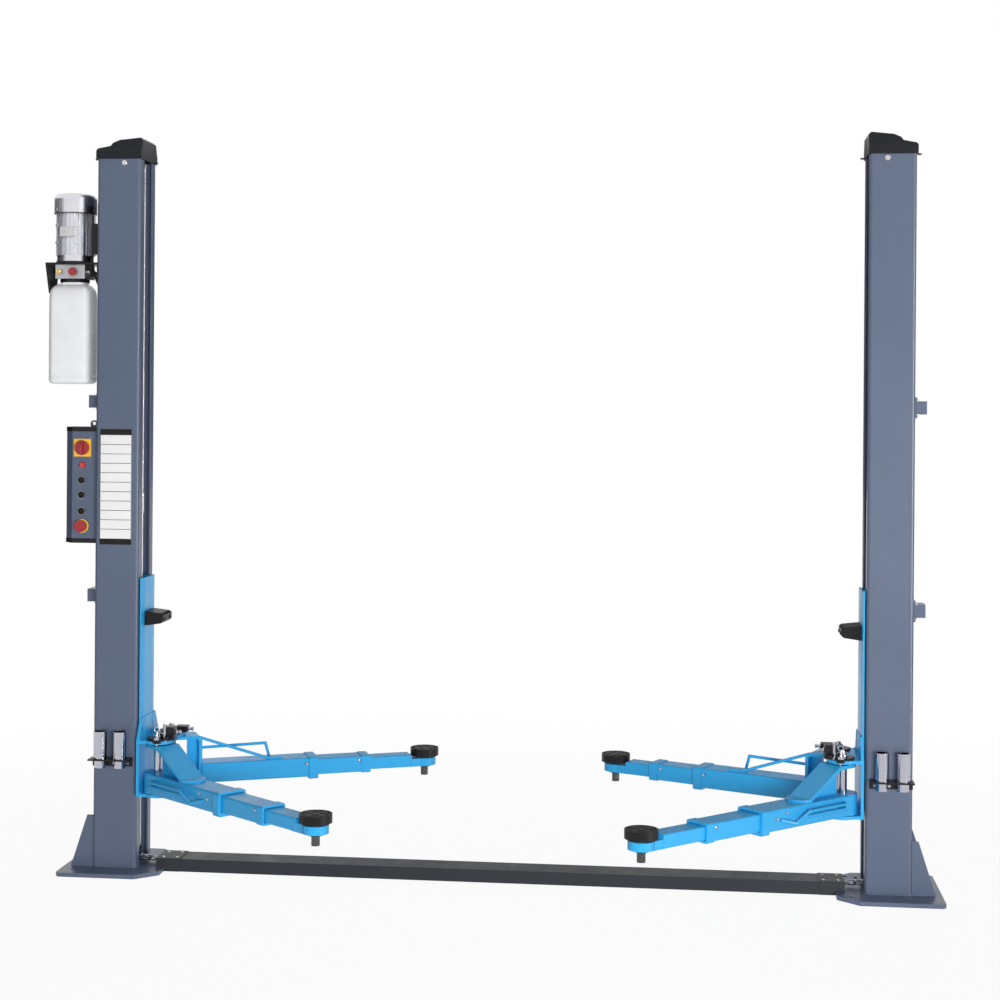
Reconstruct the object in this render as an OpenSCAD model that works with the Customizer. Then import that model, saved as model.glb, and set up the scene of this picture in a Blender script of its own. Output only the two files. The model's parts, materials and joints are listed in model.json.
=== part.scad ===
// Two post car lift with floor cover, telescopic swing arms and a column mounted power unit.
// Millimetres, +Z up, -Y to the front, origin on the floor midway between the columns.

/* [Bay and columns] */
// clear width between the inner faces of the two columns
bay_w = 2800; // [2500:10:3200]
// height of the column tops above the floor
column_h = 2787; // [2600:1:3200]
// column width across the bay
column_w = 174; // [160:1:220]
// column depth from front to back
column_d = 203; // [190:1:260]
// column wall
column_wall = 6; // [4:0.5:8]
// outer radius of the column's bends
column_bend = 14; // [10:1:20]
// width of the slot that faces the bay
slot_w = 109; // [100:1:130]

/* [Base] */
// base plate thickness
base_t = 16; // [12:1:25]
// reach of the base plate outward from the column's inner face
base_out = 287; // [260:1:320]
// reach of the base plate into the bay
base_in = 105; // [95:1:130]
// base plate depth from front to back
base_d = 410; // [380:5:500]
// anchor hole diameter
anchor_d = 20; // [16:1:26]
// outward reach of a gusset at the floor
gusset_w = 88; // [60:1:95]
// height of a gusset
gusset_h = 200; // [150:5:260]
// gusset thickness
gusset_t = 8; // [6:1:12]

/* [Floor cover] */
// cover height
cover_h = 46; // [42:1:60]
// cover depth at the floor
cover_d = 142; // [130:1:180]
// cover depth at the top
cover_top_d = 118; // [100:1:126]
// cover sheet thickness
cover_t = 3; // [2:0.5:5]

/* [Carriage] */
// height of the carriage's lowest plate above the floor
carriage_z = 300; // [290:5:700]
// height of the carriage from its lowest plate to its top
carriage_h = 845; // [800:5:900]
// thickness of the carriage's walls
carriage_t = 8; // [6:1:10]
// thickness of the two arm plates
arm_plate_t = 12; // [10:1:16]
// clear height between the two arm plates
arm_plate_gap = 194; // [190:1:220]
// distance of the arm pivots from the column's inner face
pivot_in = 85; // [80:1:110]
// distance of the arm pivots from the lift's middle plane
pivot_y = 87; // [82:1:110]
// arm pin diameter
pin_d = 36; // [30:1:40]

/* [Arms] */
// angle of the left front arm from the line between the columns
lf_angle = 39.9; // [2:0.1:90]
// angle of the right front arm
rf_angle = 44.1; // [2:0.1:90]
// angle of the left rear arm
lr_angle = 23.9; // [2:0.1:90]
// angle of the right rear arm
rr_angle = 25.2; // [2:0.1:90]
// end of the front outer tubes from the pivot
front_outer_l = 490; // [460:5:560]
// end of the rear outer tubes from the pivot
rear_outer_l = 585; // [560:5:640]
// where the left front middle tube ends at rest
lf_middle = 745; // [560:1:870]
// where the right front middle tube ends at rest
rf_middle = 755; // [560:1:870]
// where the left rear middle tube ends at rest
lr_middle = 806; // [640:1:950]
// where the right rear middle tube ends at rest
rr_middle = 785; // [640:1:950]
// reach of the left front pad from its pivot
lf_reach = 989; // [820:1:1220]
// reach of the right front pad
rf_reach = 1017; // [830:1:1220]
// reach of the left rear pad
lr_reach = 1049; // [880:1:1220]
// reach of the right rear pad
rr_reach = 963; // [860:1:1220]
// length of the front middle tubes
front_middle_l = 495; // [440:5:500]
// length of the rear middle tubes
rear_middle_l = 480; // [440:5:540]
// distance from a front pad to the tail of its inner tube
front_inner_l = 445; // [400:5:450]
// distance from a rear pad to the tail of its inner tube
rear_inner_l = 370; // [350:5:400]
// width of the outer tubes
tube_w = 112; // [104:1:120]
// height of the outer tubes
tube_h = 78; // [70:1:90]
// wall of the arm tubes
tube_t = 6; // [5:0.5:8]

/* [Pads] */
// rubber pad diameter
pad_d = 117; // [100:1:130]
// rubber pad thickness
pad_t = 31; // [20:1:36]
// lifting screw diameter
screw_d = 30; // [24:1:36]
// diameter of the boss that holds the screw
boss_d = 94; // [80:1:100]

/* [Power unit] */
// motor body diameter over its fins
motor_d = 150; // [130:1:170]
// motor body height
motor_h = 166; // [150:1:220]
// oil tank width
tank_w = 178; // [150:1:200]
// oil tank height
tank_h = 397; // [300:1:450]

/* [Control box] */
// control box depth from front to back
box_d = 120; // [100:1:160]
// control box height
box_h = 455; // [400:1:500]

/* [Hidden] */
$fn = 64;

// general clearances
slide_gap = 0.3;
pin_gap = 0.2;
overshoot = 1;

// colours
slate = [0.40, 0.43, 0.50];
sky_blue = [0.25, 0.62, 0.86];
rubber = [0.05, 0.05, 0.055];
chrome = [0.75, 0.76, 0.78];
aluminium = [0.62, 0.63, 0.65];
dark_grey = [0.18, 0.19, 0.21];
white_plastic = [0.86, 0.88, 0.88];
steel = [0.55, 0.56, 0.58];
red = [0.80, 0.08, 0.08];

// column
half_bay = bay_w / 2;
outer_face = half_bay + column_w;
column_in_d = column_d - 2 * column_wall;

// top and base sheaves with the two levelling cables
sheave_x = half_bay + 65;
sheave_r = 50;
cable_d = 9;
cable_path_r = 46;
cable_y = 12;
sheave_half_w = 24;
axle_d = 21;
top_sheave_z = column_h - 19;
base_sheave_z = 78;
base_axle_d = 20;
base_cheek_t = 8;
base_cheek_h = 92;
cable_cross_z = base_sheave_z - cable_path_r;
pipe_y = sheave_half_w + base_cheek_t + 10;
pipe_z = 31;
pipe_step = 23;

// caps
cap_wall = 4;
cap_gap = 0.5;
cap_rim_h = 34;
cap_step_h = 66;
cap_crown_h = 81;
cap_reach = 4;

// base
base_nose_d = 270;
base_nose_w = 80;
base_corner = 12;
anchor_in = 55;
anchor_out = 235;
anchor_y = 145;
gusset_top_w = 24;

// floor cover
cover_half = half_bay - base_in - 5;
cover_lap_in = 55;
cover_lap_out = 35;
cover_lap_t = 2;

// carriage section, with u measured from the column's inner face into the bay
face_u = 16;
face_half = 50;
wing_half = 85;
wing_u = 5;
neck_half = 48;
inner_u = -12;
inner_half = 86;
inner_back_u = -156;
inner_z = carriage_z + 120;
carriage_top = carriage_z + carriage_h;
slide_h = 125;
back_u = 8;
back_t = 11;
back_half = 130;
back_flare_h = 82;
lower_plate_top = carriage_z + arm_plate_t;
upper_plate_z = lower_plate_top + arm_plate_gap;
upper_plate_top = upper_plate_z + arm_plate_t;
pivot_r = 57;
pivot_x = half_bay - pivot_in;

// guard bars and the rear arms' yokes
bar_d = 12;
weld = 2;
yoke_bend = 25;
yoke_foot = 116;
root_web_t = 20;
strap_foot = 235;
foot_plate_t = 11;
stop_hole_d = 14;

// arms
arm_z = lower_plate_top + 2;
tube_top = arm_z + tube_h;
tube_bend = 8;
lug_t = 13;
lug_z = upper_plate_z - 3 - lug_t;
lug_r = 50;
lug_w = 2 * lug_r;
root_solid = 30;
pin_bore = pin_d + 1;
collar_l = 36;
collar_side = 6;
collar_down = 8;
collar_up = 3;
middle_w = tube_w - 2 * tube_t - 3;
middle_h = 64;
middle_z = arm_z + tube_t + slide_gap;
inner_w = 80;
inner_h = 50;
inner_tube_z = middle_z + tube_t + slide_gap;
middle_collar = 3;

// pads
boss_z = arm_z + 16;
boss_h = 30;
pad_clear = 1;
neck_t = 6.5;
neck_d = 38;
neck_z = boss_z + boss_h + pad_clear;
pad_z = neck_z + neck_t;
lower_ring_d = 53;
lower_ring_t = 7;
groove_w = 5;
groove_t = 3;
screw_low = 44;
neck_gap = 8;

// adapters on the columns' front faces
adapter_d = 52;
adapter_h = 105;
adapter_spigot_d = 44;
adapter_spigot_h = 36;
adapter_bore_h = 40;
rack_z = 442;
rack_t = 6;
rack_out = 66;
adapter_pitch = 78;

// arm locks on the upper plate
lock_disc_r = 46;
lock_disc_t = 8;
lock_block_w = 42;

// door guard
guard_z = 985;
guard_w = 120;

// power unit on the left column's outer face
motor_x = -(outer_face + 122);
motor_z = 2411;
motor_band = 24;
bracket_z = motor_z - 38;
bracket_d = 140;
bracket_t = 8;
bracket_top = motor_z + 199;
cheek_x = motor_x - 97;
fan_d = 167;
fan_h = 78;
block_w = 119;
block_h = 55;
block_z = bracket_z - block_h;
tank_r = 26;
tank_neck_h = 18;
tank_shoulder_h = 43;

// control box on the left column's outer face
box_w = 141;
box_z = 1278;
box_x = -outer_face;
box_fold = 34;
box_wall = 3;
panel_x = box_x - 66;
switch_z = box_z + 374;
raise_z = box_z + 247;
lower_z = box_z + 189;
unlock_z = box_z + 125;
stop_z = box_z + 66;

// lock covers on the outer faces
lock_z = [1030, 1795];
lock_h = 79;
lock_w = 96;

// mirrors what is drawn for the right side to the left side when side is -1
module on_side(side) {
    if (side < 0)
        mirror([1, 0, 0]) children();
    else
        children();
}

module on_both_sides() {
    on_side(1) children();
    on_side(-1) children();
}

// a rectangle from the origin with round corners, kept as true arcs
module rounded(w, d, r) {
    translate([r, 0]) square([w - 2 * r, d]);
    translate([0, r]) square([w, d - 2 * r]);
    for (x = [r, w - r], y = [r, d - r])
        translate([x, y]) circle(r);
}

// a cylinder along Y centred on the point
module y_cylinder(d, l) {
    rotate([90, 0, 0]) cylinder(d = d, h = l, center = true);
}

// a round bar bent through the points
module bar(points, d) {
    for (i = [0 : len(points) - 2]) {
        v = points[i + 1] - points[i];
        l = norm(v);
        translate(points[i]) rotate([0, acos(v[2] / l), atan2(v[1], v[0])]) cylinder(d = d, h = l);
    }
    for (i = [1 : len(points) - 2])
        translate(points[i]) sphere(d = d + 0.4, $fn = 24);
}

// a square tube along X with round corners, standing on z
module box_tube(from, to, w, h, z, bend) {
    translate([from, 0, z]) rotate([90, 0, 90])
        linear_extrude(to - from) translate([-w / 2, 0]) rounded(w, h, bend);
}

// Base plates and columns

module base_outline() {
    half = base_d / 2;
    far = half_bay + base_out;
    near = half_bay - base_in;
    polygon([
        [far - base_corner, -half], [far, -half + base_corner],
        [far, half - base_corner], [far - base_corner, half],
        [near + base_nose_w, half], [near, base_nose_d / 2],
        [near, -base_nose_d / 2], [near + base_nose_w, -half]
    ]);
}

module gusset() {
    rotate([90, 0, 0])
        linear_extrude(gusset_t, center = true)
            polygon([[0, 0], [gusset_w, 0], [gusset_top_w, gusset_h], [0, gusset_h]]);
}

module base_plate(side) {
    color(slate) on_side(side) {
        difference() {
            linear_extrude(base_t) base_outline();
            for (x = [half_bay - anchor_in, half_bay + anchor_out], y = [-anchor_y, anchor_y])
                translate([x, y, -overshoot]) cylinder(d = anchor_d, h = base_t + 2 * overshoot);
        }
        for (y = [-1, 1])
            translate([outer_face, y * (column_d - gusset_t) / 2 - y * column_bend / 2, base_t]) gusset();
    }
}

module column_section() {
    difference() {
        translate([0, -column_d / 2]) rounded(column_w, column_d, column_bend);
        translate([column_wall, -column_in_d / 2])
            rounded(column_w - 2 * column_wall, column_in_d, column_bend - column_wall);
        translate([-overshoot, -slot_w / 2]) square([column_wall + 2 * overshoot, slot_w]);
    }
}

module column(side) {
    color(slate) on_side(side) difference() {
        translate([half_bay, 0, base_t]) linear_extrude(column_h - base_t) column_section();
        translate([sheave_x, 0, top_sheave_z]) y_cylinder(axle_d + 2 * pin_gap, column_d + 2 * overshoot);
    }
}

// Caps, drawn as the profile seen from the front cut by the profile seen from the side

module cap_front_profile(inset) {
    a = half_bay - cap_reach + inset;
    b = outer_face + cap_reach - inset;
    low = column_h - cap_wall;
    step = a + 0.7 * (b - a);
    polygon([
        [a, low - inset], [a, column_h + cap_crown_h - 9 - inset], [a + 10, column_h + cap_crown_h - inset],
        [step - 34, column_h + cap_step_h + 6 - inset], [step - 8, column_h + cap_step_h - 6 - inset],
        [step, column_h + 48 - inset], [b - 46, column_h + 46 - inset],
        [b - 6, column_h + cap_rim_h + 4 - inset], [b, column_h + cap_rim_h - 4 - inset], [b, low - inset]
    ]);
}

module cap_side_profile(inset) {
    a = column_d / 2 + cap_reach - inset;
    low = column_h - cap_wall;
    top = column_h + cap_crown_h + overshoot - inset;
    polygon([
        [-a, low - inset], [-a, column_h + 26], [-a + 8, column_h + 40], [-a + 22, top],
        [a - 22, top], [a - 8, column_h + 40], [a, column_h + 26], [a, low - inset]
    ]);
}

module cap_body(inset) {
    intersection() {
        rotate([90, 0, 0])
            linear_extrude(2 * column_d, center = true) cap_front_profile(inset);
        translate([half_bay - column_w, 0, 0]) rotate([90, 0, 90])
            linear_extrude(3 * column_w) cap_side_profile(inset);
    }
}

module cap_lug() {
    difference() {
        union() {
            translate([0, -9, 0]) cube([9, 18, 5]);
            translate([9, 0, 0]) cylinder(d = 18, h = 5);
        }
        translate([9, 0, -overshoot]) cylinder(d = 7, h = 5 + 2 * overshoot);
    }
}

module top_cap() {
    low = column_h - cap_wall;
    difference() {
        union() {
            cap_body(0);
            translate([outer_face + cap_reach - overshoot, -60, low]) cap_lug();
            translate([half_bay - cap_reach + overshoot, 60, low]) rotate([0, 0, 180]) cap_lug();
        }
        cap_body(cap_wall);
        translate([half_bay - cap_gap, -column_d / 2 - cap_gap, low - overshoot])
            cube([column_w + 2 * cap_gap, column_d + 2 * cap_gap, cap_wall + overshoot]);
    }
}

module top_caps() {
    color(rubber) on_both_sides() top_cap();
}

// Sheaves and levelling cables

module sheave(bore_d) {
    rotate([90, 0, 0]) difference() {
        cylinder(r = sheave_r, h = 2 * sheave_half_w, center = true);
        for (y = [-cable_y, cable_y])
            translate([0, 0, y]) rotate_extrude()
                translate([cable_path_r, 0]) union() {
                    circle(d = cable_d + 2 * slide_gap);
                    translate([0, -cable_d / 2 - slide_gap]) square([sheave_r, cable_d + 2 * slide_gap]);
                }
        cylinder(d = bore_d, h = 3 * sheave_half_w, center = true);
    }
}

module top_sheaves() {
    color(steel) on_both_sides() translate([sheave_x, 0, top_sheave_z]) {
        sheave(axle_d - overshoot);
        y_cylinder(axle_d, column_d + 5);
    }
}

module base_sheaves() {
    color(steel) on_both_sides() {
        translate([sheave_x, 0, base_sheave_z]) {
            sheave(base_axle_d - overshoot);
            y_cylinder(base_axle_d, 2 * (sheave_half_w + base_cheek_t) + 8);
        }
        for (y = [-1, 1])
            translate([sheave_x - 25, y * (sheave_half_w + 1 + base_cheek_t / 2), base_t])
                rotate([90, 0, 0]) linear_extrude(base_cheek_t, center = true)
                    square([50, base_cheek_h]);
    }
}

module cable_arc(from, sweep) {
    rotate([90, 0, 0]) rotate([0, 0, from])
        rotate_extrude(angle = sweep) translate([cable_path_r, 0]) circle(d = cable_d);
}

module cable_side() {
    rise = top_sheave_z - base_sheave_z;
    translate([sheave_x, 0, top_sheave_z]) cable_arc(0, 180);
    translate([sheave_x, 0, base_sheave_z]) cable_arc(270, 90);
    for (x = [-cable_path_r, cable_path_r])
        translate([sheave_x + x, 0, base_sheave_z]) cylinder(d = cable_d, h = rise);
    translate([sheave_x - cable_path_r, 0, column_h / 2]) cylinder(d = 15, h = 80);
}

// the pipe that feeds the far column runs beside the cables and steps up at both ends
module cross_pipe() {
    y = -pipe_y;
    low = [half_bay - 80, y, pipe_z];
    high = [half_bay - 54, y, pipe_z + pipe_step];
    end = [half_bay + 26, y, pipe_z + pipe_step];
    bar([
        [-end[0], y, end[2]], [-high[0], y, high[2]], [-low[0], y, low[2]], low, high, end
    ], cable_d);
}

module level_cables() {
    color(steel) for (y = [-cable_y, cable_y]) translate([0, y, 0]) {
        on_both_sides() cable_side();
        translate([-sheave_x, 0, cable_cross_z]) rotate([0, 90, 0])
            cylinder(d = cable_d, h = 2 * sheave_x);
    }
    color(steel) cross_pipe();
}

// Floor cover

module cover_section(grow) {
    bottom = cover_d / 2 + grow;
    top = cover_top_d / 2 + grow;
    difference() {
        polygon([[-bottom, 0], [-top, cover_h + grow], [top, cover_h + grow], [bottom, 0]]);
        polygon([
            [-bottom + cover_t, -overshoot], [-top + cover_t, cover_h + grow - cover_t],
            [top - cover_t, cover_h + grow - cover_t], [bottom - cover_t, -overshoot]
        ]);
    }
}

module floor_cover() {
    color(dark_grey) translate([-cover_half, 0, 0]) rotate([90, 0, 90])
        linear_extrude(2 * cover_half) cover_section(0);
}

module cover_ends() {
    start = cover_half - cover_lap_in;
    lap = cover_lap_in + 5 + cover_lap_out;
    color(dark_grey) on_both_sides() difference() {
        translate([start, 0, 0]) rotate([90, 0, 90]) linear_extrude(lap) difference() {
            cover_section(cover_lap_t + slide_gap);
            polygon([
                [-cover_d / 2 - slide_gap, -overshoot], [-cover_top_d / 2 - slide_gap, cover_h + slide_gap],
                [cover_top_d / 2 + slide_gap, cover_h + slide_gap], [cover_d / 2 + slide_gap, -overshoot]
            ]);
        }
        translate([half_bay - base_in - slide_gap, -cover_d, -overshoot])
            cube([2 * lap, 2 * cover_d, base_t + overshoot]);
    }
}

// Fittings on the columns

module lock_covers() {
    color(slate) on_both_sides() for (z = lock_z) translate([outer_face, -lock_w / 2, z]) {
        cube([12, lock_w, lock_h]);
        translate([0, 12, (lock_h - 50) / 2]) cube([50, lock_w - 24, 50]);
    }
}

module adapter_places() {
    for (x = [-adapter_pitch / 2, adapter_pitch / 2])
        translate([half_bay + column_w / 2 + 8 + x, -column_d / 2 - 34, 0]) children();
}

module adapter_racks() {
    color(rubber) on_both_sides() difference() {
        union() {
            translate([half_bay + 14, -column_d / 2 - rack_out, rack_z]) cube([column_w - 14, rack_out, rack_t]);
            translate([half_bay + 14, -column_d / 2 - 4, rack_z - 30]) cube([column_w - 14, 4, 36]);
        }
        translate([0, 0, rack_z - overshoot]) adapter_places()
            cylinder(d = adapter_spigot_d + 1, h = rack_t + 2 * overshoot);
    }
}

module height_adapters() {
    color(chrome) on_both_sides() translate([0, 0, rack_z + rack_t]) adapter_places() {
        difference() {
            union() {
                translate([0, 0, -adapter_spigot_h]) cylinder(d = adapter_spigot_d, h = adapter_spigot_h);
                cylinder(d = adapter_d, h = adapter_h);
            }
            translate([0, 0, adapter_h - adapter_bore_h])
                cylinder(d = adapter_spigot_d + 0.5, h = adapter_bore_h + overshoot);
            translate([0, 0, 20]) difference() {
                cylinder(d = adapter_d + 2 * overshoot, h = 6);
                translate([0, 0, -overshoot]) cylinder(d = adapter_d - 3, h = 6 + 2 * overshoot);
            }
        }
    }
}

// Power unit

module fan_cover() {
    round_r = 22;
    rotate_extrude() {
        square([fan_d / 2, fan_h - round_r]);
        square([fan_d / 2 - round_r, fan_h]);
        translate([fan_d / 2 - round_r, fan_h - round_r]) circle(round_r);
    }
}

module motor() {
    pitch = 15;
    feet = [15, 45, 315, 345];
    color(aluminium) translate([motor_x, 0, 0]) {
        translate([0, 0, motor_z]) {
            cylinder(d = motor_d - 18, h = motor_h);
            for (a = [0 : pitch : 360 - pitch]) {
                foot = len(search(a, feet)) > 0;
                w = foot ? 11 : 3;
                rotate([0, 0, a]) translate([0, -w / 2, 0]) cube([motor_d / 2 + (foot ? 5 : 0), w, motor_h]);
            }
            for (a = [217.5, 292.5], z = [0.3, 0.72])
                rotate([0, 0, a]) translate([motor_d / 2 - 12, -8, z * motor_h - 6]) cube([15, 16, 12]);
        }
        translate([0, 0, motor_z + motor_h]) fan_cover();
        translate([0, 0, motor_z - motor_band]) cylinder(d = motor_d - 6, h = motor_band);
    }
}

module motor_bracket() {
    cheek_low = bracket_z - block_h - 56;
    color(dark_grey) {
        translate([cheek_x, -bracket_d / 2, bracket_z]) cube([-outer_face - cheek_x, bracket_d, bracket_t]);
        translate([-outer_face - bracket_t, -bracket_d / 2, bracket_z])
            cube([bracket_t, bracket_d, bracket_top - bracket_z]);
        translate([motor_x, 0, bracket_z]) cylinder(d = motor_d, h = motor_z - motor_band - bracket_z);
        translate([-outer_face - 40, -50, motor_z + 4]) cube([33, 100, 120]);
        translate([cheek_x, 0, 0]) rotate([90, 0, 90]) linear_extrude(bracket_t) polygon([
            [-bracket_d / 2, bracket_z + 1], [bracket_d / 2, bracket_z + 1],
            [30, cheek_low], [-30, cheek_low]
        ]);
    }
}

module valve_block() {
    half = block_w / 2;
    middle = block_h / 2;
    color(aluminium) translate([motor_x, 0, block_z]) {
        translate([-half, -half, 0]) cube([block_w, block_w, block_h]);
        for (x = [-half + 16, 12])
            translate([x, -half - 5, middle]) y_cylinder(x > 0 ? 30 : 22, 12);
        for (y = [-30, 0])
            translate([half - 1, y, middle]) rotate([0, 90, 0]) cylinder(d = 18, h = 22);
    }
}

module oil_tank() {
    low = block_z - tank_neck_h - tank_h;
    body_h = tank_h - tank_shoulder_h;
    color(white_plastic) translate([motor_x, 0, low]) {
        translate([-tank_w / 2, -tank_w / 2, 0]) linear_extrude(body_h) rounded(tank_w, tank_w, tank_r);
        translate([0, 0, body_h]) cylinder(d1 = tank_w - 8, d2 = 128, h = tank_shoulder_h);
        translate([0, 0, body_h + tank_shoulder_h]) cylinder(d = 110, h = tank_neck_h);
    }
}

// Control box with its switches

module box_outline(t) {
    polygon([
        [box_x - t, -box_d / 2 + t], [box_x - box_w + box_fold + t / 2, -box_d / 2 + t],
        [box_x - box_w + t, -box_d / 2 + box_fold + t / 2],
        [box_x - box_w + t, box_d / 2 - t], [box_x - t, box_d / 2 - t]
    ]);
}

module control_box() {
    color(slate) difference() {
        translate([0, 0, box_z]) linear_extrude(box_h) box_outline(0);
        translate([0, 0, box_z + box_wall]) linear_extrude(box_h - 2 * box_wall) box_outline(box_wall);
        translate([panel_x, -box_d / 2, switch_z]) y_cylinder(14, 40);
        for (z = [raise_z, lower_z, unlock_z, stop_z])
            translate([panel_x, -box_d / 2, z]) y_cylinder(17, 40);
    }
    color(slate) translate([box_x - 39, 0, box_z + box_h]) difference() {
        translate([0, 0, 12]) y_cylinder(30, 8);
        translate([0, 0, 14]) y_cylinder(14, 10);
        translate([-20, -20, -40]) cube([40, 40, 40]);
    }
}

module panel_part(z) {
    translate([panel_x, -box_d / 2, z]) rotate([90, 0, 0]) children();
}

module main_switch() {
    color(red) panel_part(switch_z) {
        translate([0, 0, -16]) cylinder(d = 12, h = 18);
        translate([0, 0, 2]) cylinder(d = 58, h = 10);
        translate([-7, -26, 12]) cube([14, 52, 14]);
    }
}

module push_button(z) {
    color(rubber) panel_part(z) {
        translate([0, 0, -14]) cylinder(d = 15, h = 20);
        translate([0, 0, 6]) cylinder(d = 27, h = 6);
    }
}

module stop_button() {
    color(red) panel_part(stop_z) {
        translate([0, 0, -14]) cylinder(d = 15, h = 24);
        translate([0, 0, 10]) cylinder(d = 47, h = 14);
    }
}

// Carriages

module carriage_section() {
    u0 = half_bay;
    polygon([
        [u0 - face_u, -face_half], [u0 - face_u, face_half], [u0 - wing_u - 6, wing_half],
        [u0 - wing_u, wing_half], [u0 - back_u, face_half],
        [u0 - back_u, -face_half], [u0 - wing_u, -wing_half], [u0 - wing_u - 6, -wing_half]
    ]);
}

module carriage_inner_section() {
    x0 = half_bay - inner_u;
    x1 = half_bay - inner_back_u;
    for (y = [-1, 1]) {
        translate([half_bay - back_u - 2, y > 0 ? neck_half - carriage_t : -neck_half])
            square([x0 + carriage_t - half_bay + back_u + 2, carriage_t]);
        translate([x0, y > 0 ? neck_half - carriage_t : -inner_half])
            square([carriage_t, inner_half - neck_half + carriage_t]);
        translate([x0, y > 0 ? inner_half - carriage_t : -inner_half]) square([x1 - x0, carriage_t]);
    }
    translate([x1 - carriage_t, -inner_half]) square([carriage_t, 2 * inner_half]);
}

module slide_blocks(z) {
    x0 = half_bay - inner_u;
    x1 = half_bay - inner_back_u;
    in_face = half_bay + column_wall + slide_gap;
    back_face = outer_face - column_wall - slide_gap;
    side_face = column_in_d / 2 - slide_gap;
    translate([0, 0, z]) linear_extrude(slide_h) for (y = [-1, 1]) {
        translate([in_face, y > 0 ? 58 : -84]) square([x0 - in_face + 1, 26]);
        translate([x0 + 14, y > 0 ? inner_half - 1 : -side_face]) square([x1 - x0 - 28, side_face - inner_half + 1]);
        translate([x1 - 1, y > 0 ? 50 : -80]) square([back_face - x1 + 1, 30]);
    }
}

module arm_plate_outline() {
    near = half_bay - pivot_in - pivot_r;
    difference() {
        union() {
            translate([near, -pivot_y]) square([pivot_r + pivot_in - back_u, 2 * pivot_y]);
            translate([pivot_x, -back_half]) square([pivot_in - back_u, 2 * back_half]);
            for (y = [-pivot_y, pivot_y])
                translate([pivot_x, y]) circle(pivot_r);
        }
        for (y = [-pivot_y, pivot_y])
            translate([pivot_x, y]) circle(d = pin_d + 2 * pin_gap);
    }
}

module back_plate() {
    translate([half_bay - back_u - back_t, 0, 0]) rotate([90, 0, 90]) linear_extrude(back_t) polygon([
        [-back_half, carriage_z], [back_half, carriage_z], [back_half, upper_plate_top],
        [wing_half, upper_plate_top + back_flare_h], [-wing_half, upper_plate_top + back_flare_h],
        [-back_half, upper_plate_top]
    ]);
}

module carriage(side) {
    color(sky_blue) on_side(side) {
        translate([0, 0, upper_plate_top]) linear_extrude(carriage_top - upper_plate_top) carriage_section();
        translate([0, 0, inner_z]) linear_extrude(carriage_top - inner_z) carriage_inner_section();
        slide_blocks(inner_z);
        slide_blocks(carriage_top - slide_h);
        back_plate();
        translate([0, 0, carriage_z]) linear_extrude(arm_plate_t) arm_plate_outline();
        translate([0, 0, upper_plate_z]) linear_extrude(arm_plate_t) arm_plate_outline();
    }
}

module door_guard(side) {
    color(rubber) on_side(side) translate([half_bay - face_u, 0, guard_z]) rotate([0, 0, 180])
        rotate([90, 0, 0]) linear_extrude(guard_w, center = true)
            polygon([[0, -28], [0, 28], [64, 21], [74, 13], [74, -11], [64, -19]]);
}

module arm_pins(side) {
    color(chrome) on_side(side) for (y = [-pivot_y, pivot_y]) translate([pivot_x, y, carriage_z - 8]) {
        cylinder(d = pin_d, h = upper_plate_top - carriage_z + 30);
        cylinder(d = pin_d + 12, h = 8);
    }
}

module toothed_disc(r, teeth, depth) {
    polygon([for (i = [0 : teeth - 1], k = [0 : 3])
        let (a = (i + k / 4) * 360 / teeth, q = k < 2 ? r : r - depth) [q * cos(a), q * sin(a)]]);
}

module arm_lock(block_low, block_high) {
    difference() {
        union() {
            linear_extrude(lock_disc_t) toothed_disc(lock_disc_r, 30, 5);
            translate([-pivot_r - 10, -lock_block_w / 2, block_low])
                cube([pivot_r + 10 - pin_d / 2 - 4, lock_block_w, block_high - block_low]);
        }
        translate([0, 0, -overshoot]) cylinder(d = pin_d + 2 * pin_gap, h = block_high + 2 * overshoot);
    }
}

module arm_locks(side) {
    color(rubber) on_side(side) {
        translate([pivot_x, -pivot_y, upper_plate_top]) {
            arm_lock(0, 52);
            translate([-pivot_r + 4, -pivot_r - 6, lock_disc_t]) cube([12, pivot_r - 8, 12]);
        }
        translate([pivot_x, pivot_y, upper_plate_top]) arm_lock(0, 24);
    }
}

// Arms, drawn for the left front corner along +X from the pivot

module place_arm(side, end, angle) {
    mirror([side > 0 ? 1 : 0, 0, 0]) mirror([0, end > 0 ? 1 : 0, 0])
        translate([-pivot_x, -pivot_y, 0]) rotate([0, 0, -angle]) children();
}

module front_root() {
    foot = strap_foot;
    translate([0, 0, arm_z]) cylinder(d = tube_w, h = tube_h);
    box_tube(0, root_solid + 40, tube_w, tube_h, arm_z, tube_bend);
    translate([0, 0, lug_z]) cylinder(r = lug_r, h = lug_t);
    rotate([90, 0, 0]) linear_extrude(lug_w, center = true) polygon([
        [0, lug_z], [0, lug_z + lug_t], [64, lug_z + lug_t], [foot + 12, tube_top - 1],
        [foot - 12, tube_top - 1], [60, lug_z]
    ]);
    rotate([90, 0, 0]) linear_extrude(8, center = true)
        polygon([[36, tube_top - 1], [36, lug_z + 1], [60, lug_z + 1], [foot - 10, tube_top - 1]]);
    translate([foot - 4, 0, tube_top - 1]) cylinder(r = lug_r, h = foot_plate_t);
}

module yoke_outline() {
    top = lug_z + lug_t;
    translate([0, lug_z]) square([yoke_foot - yoke_bend, lug_t]);
    translate([0, arm_z]) square([yoke_foot - 1, lug_t]);
    translate([yoke_foot - lug_t, arm_z]) square([lug_t, top - yoke_bend - arm_z]);
    translate([yoke_foot - yoke_bend, top - yoke_bend]) intersection() {
        difference() {
            circle(yoke_bend);
            circle(yoke_bend - lug_t);
        }
        square(yoke_bend + 1);
    }
}

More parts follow.
